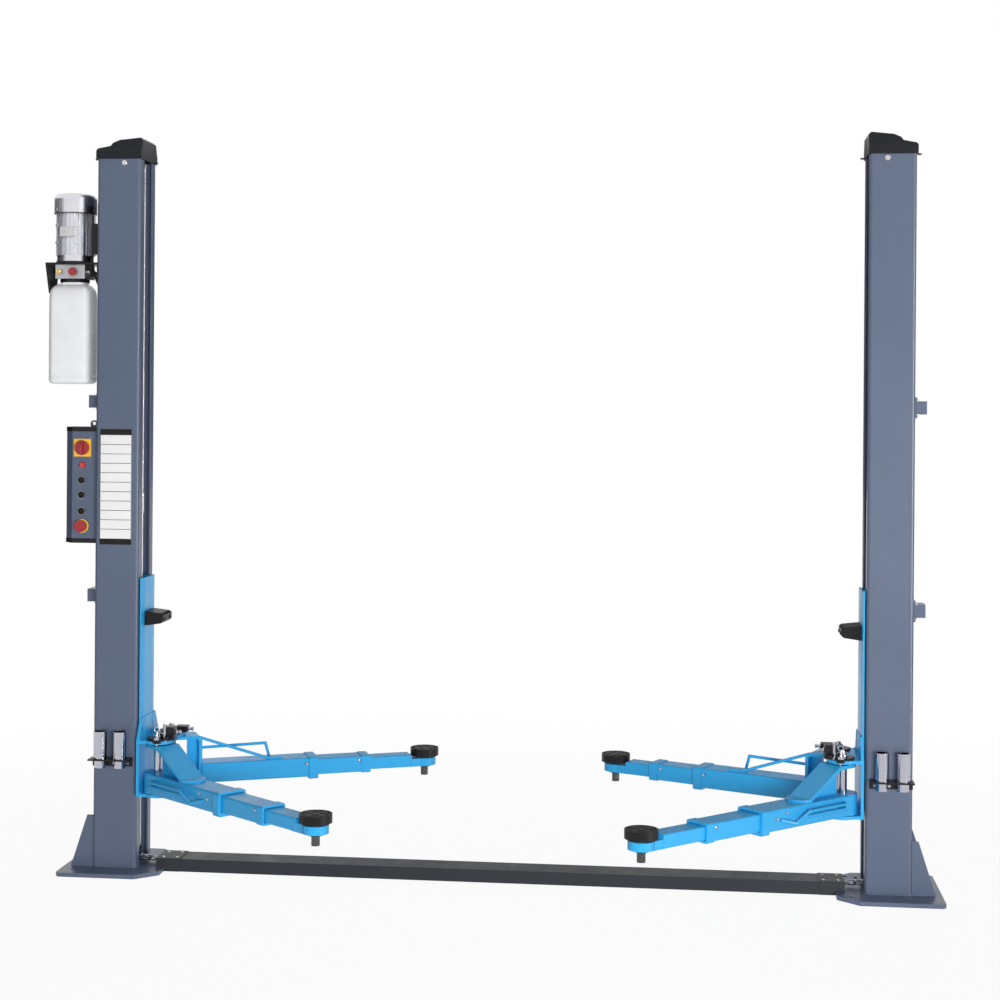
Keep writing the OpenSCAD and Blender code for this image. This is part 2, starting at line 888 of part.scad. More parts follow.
module rear_root() {
    for (z = [arm_z, lug_z])
        translate([0, 0, z]) cylinder(r = lug_r, h = lug_t);
    rotate([90, 0, 0]) linear_extrude(lug_w, center = true) yoke_outline();
    translate([62, -root_web_t / 2, arm_z + lug_t - 1])
        cube([yoke_foot - 62 - lug_t / 2, root_web_t, lug_z - arm_z - lug_t + 2]);
}

// guard bars beside the front arms keep feet away from the arm
module front_bars() {
    y = -tube_w / 2 - 22;
    side = -tube_w / 2 - bar_d / 2 + weld;
    high = arm_z + 56;
    low = arm_z + 38;
    dip = arm_z + 22;
    drop = (high - low) / (high - dip);
    bar([[54, side, high], [72, y, high], [262, y, high], [332, y, dip], [396, side, arm_z + 39]], bar_d);
    bar([[54, side, low], [72, y, low], [262 + 70 * drop, y, low]], bar_d);
}

// hand bars above the rear arms
module rear_bars() {
    top = tube_top + bar_d / 2 - weld;
    bar([[100, 40, lug_z + 7], [388, 40, top], [440, 40, top]], bar_d);
    bar([[yoke_foot - 4, -40, arm_z + 124], [386, -40, arm_z + 130], [401, -40, tube_top - weld]], bar_d);
}

module outer_arm(length, rear) {
    start = rear ? yoke_foot - 1 : root_solid;
    color(sky_blue) difference() {
        union() {
            box_tube(start, length, tube_w, tube_h, arm_z, tube_bend);
            box_tube(length - collar_l, length, tube_w + 2 * collar_side,
                tube_h + collar_down + collar_up, arm_z - collar_down, tube_bend + 2);
            if (rear) {
                rear_root();
                rear_bars();
            } else {
                front_root();
                front_bars();
            }
        }
        box_tube(start + 1, length + overshoot, tube_w - 2 * tube_t, tube_h - 2 * tube_t,
            arm_z + tube_t, tube_bend - tube_t);
        if (rear) {
            translate([length - 47, 0, arm_z + 55]) y_cylinder(stop_hole_d, tube_w + 2);
        } else {
            translate([length - 80, 0, arm_z + 44]) y_cylinder(stop_hole_d, tube_w + 2);
            translate([length - 131, 0, arm_z + 59]) y_cylinder(stop_hole_d - 4, tube_w + 2);
        }
        translate([0, 0, arm_z - overshoot]) cylinder(d = pin_bore, h = tube_h + 2 * overshoot);
        translate([0, 0, lug_z - overshoot]) cylinder(d = pin_bore, h = lug_t + 2 * overshoot);
    }
}

module middle_arm(end_at, length) {
    color(sky_blue) difference() {
        union() {
            box_tube(end_at - length, end_at, middle_w, middle_h, middle_z, tube_bend - 1);
            box_tube(end_at - collar_l, end_at, middle_w + 2 * middle_collar,
                middle_h + 2 * middle_collar, middle_z - middle_collar, tube_bend);
        }
        box_tube(end_at - length - overshoot, end_at + overshoot, middle_w - 2 * tube_t,
            middle_h - 2 * tube_t, middle_z + tube_t, tube_bend - tube_t);
        translate([end_at - collar_l - 12, 0, middle_z + middle_h - 16]) y_cylinder(stop_hole_d, middle_w + 2);
    }
}

module inner_arm(reach, length) {
    tube_end = reach - pad_d / 2 - neck_gap;
    color(sky_blue) difference() {
        union() {
            box_tube(reach - length, tube_end, inner_w, inner_h, inner_tube_z, tube_bend - 1);
            translate([tube_end - 20, -inner_w / 2 + 1, inner_tube_z + 1])
                cube([reach - tube_end + 20, inner_w - 2, boss_z + boss_h - inner_tube_z - 1]);
            translate([reach, 0, boss_z]) cylinder(d = boss_d, h = boss_h);
            translate([reach, 0, boss_z - lower_ring_t]) cylinder(d = lower_ring_d, h = lower_ring_t + 1);
        }
        box_tube(reach - length - overshoot, tube_end - 20, inner_w - 2 * tube_t, inner_h - 2 * tube_t,
            inner_tube_z + tube_t, tube_bend - tube_t);
        translate([reach, 0, boss_z - 20]) cylinder(d = screw_d + 2 * slide_gap, h = boss_h + 40);
    }
}

module pad(reach) {
    groove_z = pad_z + pad_t - groove_t;
    color(rubber) translate([reach, 0, 0]) {
        difference() {
            translate([0, 0, pad_z]) cylinder(d = pad_d, h = pad_t);
            translate([0, 0, groove_z]) difference() {
                cylinder(d = pad_d - 14, h = groove_t + overshoot);
                translate([0, 0, -overshoot]) cylinder(d = pad_d - 26, h = groove_t + 3 * overshoot);
            }
            for (a = [0, 90], y = [-18, 18])
                rotate([0, 0, a]) translate([-pad_d / 2 + 10, y - groove_w / 2, groove_z])
                    cube([pad_d - 20, groove_w, groove_t + overshoot]);
        }
        translate([0, 0, neck_z]) cylinder(d = neck_d, h = neck_t);
        translate([0, 0, boss_z - screw_low]) cylinder(d = screw_d, h = screw_low + boss_h + 4);
    }
}

base_plate(-1);  // base_plate_left
base_plate(1);  // base_plate_right
column(-1);  // column_left
column(1);  // column_right
top_caps();
top_sheaves();
base_sheaves();
level_cables();
floor_cover();
cover_ends();
lock_covers();
adapter_racks();
height_adapters();
motor();
motor_bracket();
valve_block();
oil_tank();
control_box();
main_switch();
push_button(raise_z);  // raise_button
push_button(lower_z);  // lower_button
push_button(unlock_z);  // lock_button
stop_button();
carriage(-1);  // carriage_left
carriage(1);  // carriage_right
door_guard(-1);  // door_guard_left
door_guard(1);  // door_guard_right
arm_pins(-1);  // arm_pins_left
arm_pins(1);  // arm_pins_right
arm_locks(-1);  // arm_locks_left
arm_locks(1);  // arm_locks_right
place_arm(-1, -1, lf_angle) outer_arm(front_outer_l, false);  // outer_arm_left_front
place_arm(-1, 1, lr_angle) outer_arm(rear_outer_l, true);  // outer_arm_left_rear
place_arm(1, -1, rf_angle) outer_arm(front_outer_l, false);  // outer_arm_right_front
place_arm(1, 1, rr_angle) outer_arm(rear_outer_l, true);  // outer_arm_right_rear
place_arm(-1, -1, lf_angle) middle_arm(lf_middle, front_middle_l);  // middle_arm_left_front
place_arm(-1, 1, lr_angle) middle_arm(lr_middle, rear_middle_l);  // middle_arm_left_rear
place_arm(1, -1, rf_angle) middle_arm(rf_middle, front_middle_l);  // middle_arm_right_front
place_arm(1, 1, rr_angle) middle_arm(rr_middle, rear_middle_l);  // middle_arm_right_rear
place_arm(-1, -1, lf_angle) inner_arm(lf_reach, front_inner_l);  // inner_arm_left_front
place_arm(-1, 1, lr_angle) inner_arm(lr_reach, rear_inner_l);  // inner_arm_left_rear
place_arm(1, -1, rf_angle) inner_arm(rf_reach, front_inner_l);  // inner_arm_right_front
place_arm(1, 1, rr_angle) inner_arm(rr_reach, rear_inner_l);  // inner_arm_right_rear
place_arm(-1, -1, lf_angle) pad(lf_reach);  // pad_left_front
place_arm(-1, 1, lr_angle) pad(lr_reach);  // pad_left_rear
place_arm(1, -1, rf_angle) pad(rf_reach);  // pad_right_front
place_arm(1, 1, rr_angle) pad(rr_reach);  // pad_right_rear
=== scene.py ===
import json
import math

import bmesh
import bpy
from mathutils import Matrix, Vector


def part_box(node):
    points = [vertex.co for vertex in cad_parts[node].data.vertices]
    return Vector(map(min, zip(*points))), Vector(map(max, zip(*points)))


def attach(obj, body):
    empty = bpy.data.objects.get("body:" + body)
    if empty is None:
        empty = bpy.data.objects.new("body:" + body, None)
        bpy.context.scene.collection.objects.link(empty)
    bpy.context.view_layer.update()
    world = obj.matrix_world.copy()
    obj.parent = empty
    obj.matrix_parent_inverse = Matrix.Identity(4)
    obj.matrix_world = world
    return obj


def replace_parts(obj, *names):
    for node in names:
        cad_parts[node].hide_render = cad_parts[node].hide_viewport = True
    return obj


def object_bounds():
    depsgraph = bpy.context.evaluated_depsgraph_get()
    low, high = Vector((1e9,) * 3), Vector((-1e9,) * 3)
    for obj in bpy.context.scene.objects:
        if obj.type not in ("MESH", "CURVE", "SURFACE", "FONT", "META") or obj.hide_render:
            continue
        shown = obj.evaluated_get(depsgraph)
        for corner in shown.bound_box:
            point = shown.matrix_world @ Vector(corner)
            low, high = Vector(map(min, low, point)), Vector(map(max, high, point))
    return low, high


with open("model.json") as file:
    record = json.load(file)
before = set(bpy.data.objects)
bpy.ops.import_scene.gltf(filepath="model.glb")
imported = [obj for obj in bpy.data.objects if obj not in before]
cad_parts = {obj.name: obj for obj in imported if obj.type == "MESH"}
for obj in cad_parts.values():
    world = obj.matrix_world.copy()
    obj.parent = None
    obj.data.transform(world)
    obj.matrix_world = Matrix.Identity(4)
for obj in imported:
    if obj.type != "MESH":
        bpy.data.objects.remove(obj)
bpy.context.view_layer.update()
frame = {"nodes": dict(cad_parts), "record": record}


# Materials

class Nodes:
    """Builds one material's nodes by short calls."""

    def __init__(self, name):
        self.material = bpy.data.materials.new(name)
        self.material.use_nodes = True
        self.tree = self.material.node_tree
        self.shader = self.tree.nodes["Principled BSDF"]

    def add(self, kind, **values):
        node = self.tree.nodes.new(kind)
        for key, value in values.items():
            setattr(node, key, value)
        return node

    def link(self, out, into):
        self.tree.links.new(out, into)

    def noise(self, scale, detail=4.0, rough=0.55, stretch=(1.0, 1.0, 1.0)):
        coords = self.add("ShaderNodeTexCoord")
        mapping = self.add("ShaderNodeMapping")
        mapping.inputs["Scale"].default_value = stretch
        self.link(coords.outputs["Object"], mapping.inputs["Vector"])
        node = self.add("ShaderNodeTexNoise")
        node.inputs["Scale"].default_value = scale
        node.inputs["Detail"].default_value = detail
        node.inputs["Roughness"].default_value = rough
        self.link(mapping.outputs["Vector"], node.inputs["Vector"])
        return node.outputs["Fac"]

    def ramp(self, value, stops):
        node = self.add("ShaderNodeValToRGB")
        ramp = node.color_ramp
        while len(ramp.elements) < len(stops):
            ramp.elements.new(0.5)
        for element, (at, colour) in zip(ramp.elements, stops):
            element.position = at
            element.color = (*colour, 1.0)
        self.link(value, node.inputs["Fac"])
        return node.outputs["Color"]

    def mix(self, factor, a, b):
        node = self.add("ShaderNodeMix", data_type="RGBA")
        for value, socket in ((factor, node.inputs[0]), (a, node.inputs[6]), (b, node.inputs[7])):
            if isinstance(value, tuple):
                socket.default_value = (*value, 1.0)
            else:
                self.link(value, socket)
        return node.outputs[2]

    def math(self, operation, a, b):
        node = self.add("ShaderNodeMath", operation=operation)
        for value, socket in ((a, node.inputs[0]), (b, node.inputs[1])):
            if isinstance(value, (float, int)):
                socket.default_value = value
            else:
                self.link(value, socket)
        return node.outputs[0]

    def bump(self, height, strength, distance, normal):
        node = self.add("ShaderNodeBump")
        node.inputs["Strength"].default_value = strength
        node.inputs["Distance"].default_value = distance
        self.link(height, node.inputs["Height"])
        self.link(normal, node.inputs["Normal"])
        return node.outputs["Normal"]

    def soft_edge(self, radius):
        node = self.add("ShaderNodeBevel", samples=4)
        node.inputs["Radius"].default_value = radius
        return node.outputs["Normal"]


def tint(colour, by):
    return tuple(min(1.0, part * by) for part in colour)


def grey(value):
    return (value, value, value)


def paint(name, colour, roughness=0.38, coat=0.25, dust=(0.45, 0.45, 0.46), edge=0.0012, gloss=0.35):
    """Powder coat: slight mottling, orange peel, handling marks and a little dust."""
    n = Nodes(name)
    mottling = [(0.3, tint(colour, 0.93)), (0.55, colour), (0.8, tint(colour, 1.06))]
    base = n.ramp(n.noise(3.0, 5.0, 0.6), mottling)
    scuffs = n.ramp(n.noise(28.0, 8.0, 0.7, (1.0, 1.0, 0.35)), [(0.66, grey(0.0)), (0.78, grey(1.0))])
    n.link(n.mix(n.math("MULTIPLY", scuffs, 0.14), base, dust), n.shader.inputs["Base Color"])
    smears = n.ramp(n.noise(9.0, 6.0, 0.65), [(0.25, grey(roughness - 0.07)), (0.75, grey(roughness + 0.12))])
    n.link(smears, n.shader.inputs["Roughness"])
    peel = n.bump(n.noise(420.0, 2.0), 0.10, 0.0006, n.soft_edge(edge))
    n.link(peel, n.shader.inputs["Normal"])
    n.shader.inputs["Specular IOR Level"].default_value = gloss
    n.shader.inputs["Coat Weight"].default_value = coat
    n.shader.inputs["Coat Roughness"].default_value = 0.2
    return n.material


def bare_metal(name, colour, roughness, grain=(1.0, 1.0, 12.0), darker=0.72, edge=0.0008):
    """Bare or plated metal with fine drawn marks and small stains."""
    n = Nodes(name)
    stains = n.ramp(n.noise(14.0, 4.0, 0.5), [(0.3, tint(colour, darker)), (0.7, colour)])
    n.link(stains, n.shader.inputs["Base Color"])
    marks = n.noise(160.0, 4.0, 0.6, grain)
    n.link(n.ramp(marks, [(0.3, grey(roughness * 0.7)), (0.7, grey(roughness * 1.35))]),
           n.shader.inputs["Roughness"])
    n.link(n.bump(marks, 0.10, 0.0003, n.soft_edge(edge)), n.shader.inputs["Normal"])
    n.shader.inputs["Metallic"].default_value = 1.0
    return n.material


def moulded(name, colour, roughness=0.5, grain=300.0, depth=0.0004, dust=0.12, edge=0.0015, coat=0.0,
            gloss=0.5):
    """Moulded plastic or rubber with a fine grain and dust in patches."""
    n = Nodes(name)
    cloud = n.noise(7.0, 5.0, 0.6)
    dusty = n.math("MULTIPLY", n.ramp(cloud, [(0.45, grey(0.0)), (0.8, grey(1.0))]), dust)
    base = n.ramp(n.noise(12.0, 3.0), [(0.3, tint(colour, 0.96)), (0.7, tint(colour, 1.03))])
    n.link(n.mix(dusty, base, grey(0.42)), n.shader.inputs["Base Color"])
    n.link(n.ramp(cloud, [(0.3, grey(roughness - 0.07)), (0.7, grey(roughness + 0.10))]),
           n.shader.inputs["Roughness"])
    n.link(n.bump(n.noise(grain, 3.0), 0.2, depth, n.soft_edge(edge)), n.shader.inputs["Normal"])
    n.shader.inputs["Specular IOR Level"].default_value = gloss
    n.shader.inputs["Coat Weight"].default_value = coat
    n.shader.inputs["Coat Roughness"].default_value = 0.15
    return n.material


def wire_rope(name, colour, roughness):
    """Twisted strands: slanted grooves along a rope or pipe, with painted shade darkening the grooves in the
    base colour.
    """
    n = Nodes(name)
    coords = n.add("ShaderNodeTexCoord")
    wave = n.add("ShaderNodeTexWave", bands_direction="DIAGONAL")
    wave.inputs["Scale"].default_value = 90.0
    wave.inputs["Distortion"].default_value = 0.4
    n.link(coords.outputs["Object"], wave.inputs["Vector"])
    # Painted shade: the base colour drops to 0.45 of the rope colour down in the grooves between strands.
    strands_with_painted_groove_shade = n.ramp(wave.outputs["Fac"], [(0.2, tint(colour, 0.45)), (0.7, colour)])
    n.link(strands_with_painted_groove_shade, n.shader.inputs["Base Color"])
    n.link(n.ramp(n.noise(30.0), [(0.3, grey(roughness - 0.06)), (0.7, grey(roughness + 0.1))]),
           n.shader.inputs["Roughness"])
    n.link(n.bump(wave.outputs["Fac"], 0.4, 0.0008, n.soft_edge(0.0005)), n.shader.inputs["Normal"])
    n.shader.inputs["Metallic"].default_value = 1.0
    return n.material


SLATE = (0.092, 0.117, 0.178)
SKY = (0.022, 0.36, 0.72)
LOOKS = {
    "column_paint": paint("slate powder coat", SLATE, 0.36, 0.2, dust=(0.22, 0.25, 0.30), edge=0.0015),
    "arm_paint": paint("sky blue powder coat", SKY, 0.36, 0.2, dust=(0.16, 0.40, 0.62)),
    "cover_paint": paint("dark grey powder coat", (0.026, 0.029, 0.035), 0.42, 0.1, dust=grey(0.12),
                         gloss=0.2),
    "bracket_paint": paint("black paint", (0.008, 0.008, 0.010), 0.36, 0.1, dust=grey(0.06), gloss=0.25),
    "black_plastic": moulded("black moulded plastic", (0.009, 0.010, 0.013), 0.34, dust=0.01, edge=0.003,
                             gloss=0.22),
    "black_rubber": moulded("black rubber", (0.007, 0.007, 0.008), 0.40, 180.0, 0.0006, 0.012, gloss=0.22),
    "steel": bare_metal("bright turned steel", (0.66, 0.66, 0.67), 0.24),
    "cable_steel": wire_rope("wire rope", (0.55, 0.55, 0.56), 0.32),
    "chrome": bare_metal("bright chrome", (0.50, 0.50, 0.56), 0.10, (1.0, 1.0, 0.2), 0.92),
    "motor_aluminium": bare_metal("brushed motor aluminium", (0.74, 0.74, 0.79), 0.26, (1.0, 1.0, 0.05),
                                  0.94),
    "tank_plastic": moulded("white tank plastic", (0.78, 0.79, 0.80), 0.34, 90.0, 0.00003, 0.0, 0.004, 0.1),
    "switch_red": moulded("red plastic", (0.33, 0.008, 0.014), 0.26, 200.0, 0.0001, 0.0, coat=0.4),
    "button_black": moulded("black button plastic", grey(0.008), 0.34, dust=0.0, gloss=0.2),
}
CAST_METAL = bare_metal("cast aluminium", (0.58, 0.58, 0.60), 0.40, (1.0, 1.0, 1.0))
BRASS = bare_metal("brass", (0.72, 0.50, 0.20), 0.22, (1.0, 1.0, 1.0), 0.85)
YELLOW = moulded("yellow plastic", (0.86, 0.50, 0.04), 0.35, 200.0, 0.0002, 0.02)
LAMP_RED = moulded("red lamp lens", (0.55, 0.02, 0.015), 0.12, 200.0, 0.0001, 0.0, coat=0.8)
WHITE = paint("white enamel plate", grey(0.80), 0.40, 0.2, dust=grey(0.6), edge=0.0003)
LINES = paint("black enamel lines", grey(0.010), 0.40, 0.0, dust=grey(0.05), edge=0.0001, gloss=0.2)
DARK_STEEL = bare_metal("oiled dark steel", grey(0.11), 0.16, (1.0, 1.0, 0.3), 0.8)
HOSE = moulded("black hose rubber", (0.014, 0.014, 0.015), 0.45, 500.0, 0.0003, 0.05)


def dress_cad_nodes():
    slot_of = {part["node"]: part["material_slot"] for part in frame["record"]["subparts"]}
    for name, obj in frame["nodes"].items():
        for place in obj.material_slots:
            place.material = LOOKS[slot_of[name]]
    for place in frame["nodes"]["valve_block"].material_slots:
        place.material = CAST_METAL
    for place in frame["nodes"]["base_sheaves"].material_slots:
        place.material = DARK_STEEL


dress_cad_nodes()


# Shapes

X = Vector((1, 0, 0))
Y = Vector((0, 1, 0))
Z = Vector((0, 0, 1))
SHARP = math.radians(35)


def side_axes(axis):
    """Two directions that stand square to the axis and to each other."""
    first = axis.cross(X if abs(axis.x) < 0.9 else Y).normalized()
    return first, axis.cross(first)


class Piece:
    """Gathers the solids of one piece, which rides on one body and has one finish."""

    def __init__(self, name, body, slot, material=None):
        self.name = name
        self.body = body
        self.slot = slot
        self.material = material or LOOKS[slot]
        self.mesh = bmesh.new()

    def skin(self, loops, caps=True):
        """Joins loops of points, each with the same number of points, into a closed tube."""
        rings = [[self.mesh.verts.new(point) for point in loop] for loop in loops]
        count = len(rings[0])
        for low, high in zip(rings, rings[1:]):
            for i in range(count):
                k = (i + 1) % count
                self.mesh.faces.new((low[i], low[k], high[k], high[i]))
        if caps:
            self.mesh.faces.new(rings[0][::-1])
            self.mesh.faces.new(rings[-1])
        return self

    def lathe(self, at, axis, profile, steps=24):
        """Turns a profile of (radius, height) pairs round the axis; equal ends close on themselves."""
        at = Vector(at)
        first, second = side_axes(axis)
        loops = []
        for radius, height in profile:
            loops.append([
                at + axis * height + (first * math.cos(a) + second * math.sin(a)) * radius
                for a in (2 * math.pi * i / steps for i in range(steps))])
        closed = profile[0] == profile[-1]
        if closed:
            loops = loops[:-1]
        rings = [[self.mesh.verts.new(point) for point in loop] for loop in loops]
        pairs = list(zip(rings, rings[1:]))
        if closed:
            pairs.append((rings[-1], rings[0]))
        for low, high in pairs:
            for i in range(steps):
                k = (i + 1) % steps
                self.mesh.faces.new((low[i], low[k], high[k], high[i]))
        if not closed:
            self.mesh.faces.new(rings[0][::-1])
            self.mesh.faces.new(rings[-1])
        return self

    def ring(self, at, axis, inner, outer, low, high):
        rim = min(0.0006, (high - low) / 3)
        return self.lathe(at, axis, [
            (inner, low), (outer, low), (outer, high - rim), (outer - rim, high), (inner + rim, high),
            (inner, high - rim), (inner, low)], 32)

    def bolt(self, at, axis, across, head, washer=1.25):
        """A hexagon head with a round chamfer on a washer."""
        at = Vector(at)
        corner = across / math.sqrt(3)
        rim = across * washer / 2
        sheet = head * 0.22
        self.lathe(at, axis, [(rim, 0), (rim, sheet * 0.7), (rim - sheet * 0.3, sheet)])
        self.lathe(at, axis, [
            (corner, sheet * 0.9), (corner, head * 0.88), (corner * 0.9, head), (corner * 0.62, head),
            (corner * 0.55, head * 0.93)], 6)
        return self

    def screw(self, at, axis, radius, height):
        """A round socket screw head."""
        return self.lathe(at, axis, [
            (radius, 0), (radius, height * 0.7), (radius * 0.88, height), (radius * 0.5, height),
            (radius * 0.5, height * 0.35)], 20)

    def block(self, centre, size, bevel=0.001, turn=None):
        """A block whose edges are cut at 45 degrees."""
        turn = turn or Matrix.Identity(3)
        centre = Vector(centre)
        a, b, c = (part / 2 for part in size)
        cut = min(bevel, min(a, b, c) * 0.6)
        loops = []
        for z, inset in ((-c, cut), (-c + cut, 0), (c - cut, 0), (c, cut)):
            w, d = a - inset, b - inset
            outline = [
                (w - cut, -d), (w, -d + cut), (w, d - cut), (w - cut, d),
                (-w + cut, d), (-w, d - cut), (-w, -d + cut), (-w + cut, -d)]
            loops.append([centre + turn @ Vector((x, y, z)) for x, y in outline])
        return self.skin(loops)

    def outline(self, points, low, high, bevel=0.001):
        """An upright prism over an outline in the ground plane, with its top and bottom edges cut."""
        middle = sum((Vector((*p, 0)) for p in points), Vector()) / len(points)
        loops = []
        for z, inset in ((low, bevel), (low + bevel, 0), (high - bevel, 0), (high, bevel)):
            loop = []
            for p in points:
                away = Vector((*p, 0)) - middle
                loop.append(middle + away * (1 - inset / away.length) + Z * z)
            loops.append(loop)
        return self.skin(loops)

    def sweep(self, points, radius, steps=10, ripple=0.0, closed=False):
        """A round bar, hose or weld bead along the points."""
        points = [Vector(p) for p in points]
        count = len(points)
        loops = []
        first = None
        for i, point in enumerate(points):
            before = points[i - 1] if i or closed else point
            after = points[(i + 1) % count] if i < count - 1 or closed else point
            along = (after - before).normalized()
            if first is None:
                first = side_axes(along)[0]
            first = (first - along * first.dot(along)).normalized()
            second = along.cross(first)
            r = radius * (1 + ripple * (1 if i % 2 else -1))
            loops.append([
                point + (first * math.cos(a) + second * math.sin(a)) * r
                for a in (2 * math.pi * k / steps for k in range(steps))])
        if closed:
            loops.append(loops[0])
        return self.skin(loops, caps=not closed)

    def bead(self, corners, radius=0.003, pitch=0.0045, closed=False):
        """A rippled weld bead along straight runs between the corners."""
        corners = [Vector(p) for p in corners]
        if closed:
            corners.append(corners[0])
        points = []
        for a, b in zip(corners, corners[1:]):
            steps = max(2, round((b - a).length / pitch))
            points += [a.lerp(b, i / steps) for i in range(steps)]
        if not closed:
            points.append(corners[-1])
        return self.sweep(points, radius, 6, 0.18, closed)

    def done(self):
        bmesh.ops.remove_doubles(self.mesh, verts=self.mesh.verts, dist=0.000005)
        bmesh.ops.recalc_face_normals(self.mesh, faces=self.mesh.faces)
        for face in self.mesh.faces:
            face.smooth = True
        for edge in self.mesh.edges:
            edge.smooth = len(edge.link_faces) == 2 and edge.calc_face_angle(0) < SHARP
        data = bpy.data.meshes.new(self.name)
        self.mesh.to_mesh(data)
        self.mesh.free()
        data.materials.append(self.material)
        piece = bpy.data.objects.new(self.name, data)
        bpy.context.scene.collection.objects.link(piece)
        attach(piece, self.body)
        return piece


def curve_through(points, steps=6):
    """Points on a smooth curve through the given ones."""
    points = [Vector(p) for p in points]
    padded = [2 * points[0] - points[1], *points, 2 * points[-1] - points[-2]]
    smooth = []
    for a, b, c, d in zip(padded, padded[1:], padded[2:], padded[3:]):
        for i in range(steps):
            t = i / steps
            smooth.append(0.5 * (2 * b + (c - a) * t + (2 * a - 5 * b + 4 * c - d) * t * t
                                 + (3 * b - a - 3 * c + d) * t ** 3))
    return smooth + [points[-1]]


def turned(degrees):
    """A turn about the upright axis."""
    return Matrix.Rotation(math.radians(degrees), 3, "Z")


def loop_in_plane(at, across, up, radius, steps=20, start=0.0, end=360.0):
    """Points round a circle in the plane of two directions."""
    return [
        Vector(at) + (across * math.cos(a) + up * math.sin(a)) * radius
        for a in (math.radians(start + (end - start) * i / steps) for i in range(steps))]


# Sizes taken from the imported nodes

SIDES = {"left": -1, "right": 1}
column_low, column_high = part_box("column_right")
INNER_FACE = column_low[0]
OUTER_FACE = column_high[0]
COLUMN_FRONT = column_low[1]
COLUMN_TOP = column_high[2]
BASE_TOP = column_low[2]


# Columns, base and cover

AXLE_Z = COLUMN_TOP - 0.019
AXLE_X = INNER_FACE + 0.065
SLOT_LIP = 0.047
OUTER_BEND = 0.014
HALF_BEND = 0.004
GUSSET_Y = 0.0905
GUSSET_HALF = 0.0042
GUSSET_TOP = 0.214
GUSSET_REACH = 0.086
LOCK_COVER_FEET = (1.030, 1.795)
RACK_BOLT_Z = 0.424
COVER_SCREW_X = (1.252, 1.306)
PIPE_Y = -0.042
PIPE_Z = 0.054
CABLE_Y = 0.012
CABLE_Z = 0.032


def make_axle_ends():
    piece = Piece("axle_ends", "frame", "steel")
    for s in (-1, 1):
        for y in (-1, 1):
            at = (s * AXLE_X, y * (0.0001 - COLUMN_FRONT), AXLE_Z)
            piece.lathe(at, Y * y, [(0.0102, 0.0015), (0.0102, 0.0034), (0.0090, 0.0046), (0.003, 0.0050)])
    piece.done()


def make_column_welds():
    """Beads round the foot of each column, open at the slot, and along both faces of the gussets."""
    piece = Piece("column_welds", "frame", "column_paint")
    z = BASE_TOP + 0.001
    y = -COLUMN_FRONT
    for s in (-1, 1):
        inner, outer = s * INNER_FACE, s * OUTER_FACE
        step, bend = s * HALF_BEND, s * OUTER_BEND
        piece.bead([
            (inner, SLOT_LIP - y, z), (inner, OUTER_BEND - y, z), (inner + step, HALF_BEND - y, z),
            (inner + bend, -y, z), (outer - bend, -y, z), (outer - step, HALF_BEND - y, z),
            (outer, OUTER_BEND - y, z), (outer, y - OUTER_BEND, z), (outer - step, y - HALF_BEND, z),
            (outer - bend, y, z), (inner + bend, y, z), (inner + step, y - HALF_BEND, z),
            (inner, y - OUTER_BEND, z), (inner, y - SLOT_LIP, z)], 0.0035)
        root = outer + s * 0.0005
        for gusset_y in (-GUSSET_Y, GUSSET_Y):
            for face in (-GUSSET_HALF, GUSSET_HALF):
                line = gusset_y + face
                piece.bead([(root, line, GUSSET_TOP), (root, line, z), (outer + s * GUSSET_REACH, line, z)],
                           0.0028)
    piece.done()


def make_lock_cover_bolts():
    piece = Piece("lock_cover_bolts", "frame", "steel")
    flange = OUTER_FACE + 0.0119
    for s in (-1, 1):
        for foot in LOCK_COVER_FEET:
            for y in (-0.0425, 0.0425):
                for z in (0.012, 0.067):
                    piece.bolt((s * flange, y, foot + z), X * s, 0.0100, 0.0052)
    piece.done()


def make_rack_bolts():
    piece = Piece("rack_bolts", "frame", "steel")
    for s in (-1, 1):
        for x in (0.034, 0.087, 0.140):
            piece.bolt((s * (INNER_FACE + x), COLUMN_FRONT - 0.0039, RACK_BOLT_Z), -Y, 0.0100, 0.0052)
    piece.done()


def make_cover_screws():
    piece = Piece("cover_screws", "frame", "steel")
    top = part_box("cover_ends")[1][2]
    for s in (-1, 1):
        for x in COVER_SCREW_X:
            for y in (-0.036, 0.036):
                piece.lathe((s * x, y, top - 0.0004), Z, [
                    (0.0062, 0), (0.0060, 0.0016), (0.0040, 0.0022), (0.0021, 0.0022), (0.0019, 0.0012)], 20)
    piece.done()


def make_cross_fittings():
    """Pipe unions and cable stops where the cover ends stop short of the sheaves."""
    piece = Piece("cross_fittings", "frame", "chrome")
    for s in (-1, 1):
        for x, r in ((1.3640, 0.0088), (1.3900, 0.0078)):
            piece.lathe((s * x, PIPE_Y, PIPE_Z), X * s, [
                (r * 0.8, 0), (r * 1.15, 0.001), (r * 1.15, 0.012), (r * 0.8, 0.013)], 6)
        for y in (-CABLE_Y, CABLE_Y):
            piece.lathe((s * 1.345, y, CABLE_Z), X * s, [
                (0.0048, 0), (0.0072, 0.004), (0.0072, 0.026), (0.0048, 0.030)], 20)
    piece.done()


PLATE_X = (-1.554, -1.427)
PLATE_Z = (1.276, 1.727)
PLATE_BAND = 0.0232
PLATE_ROWS = 11


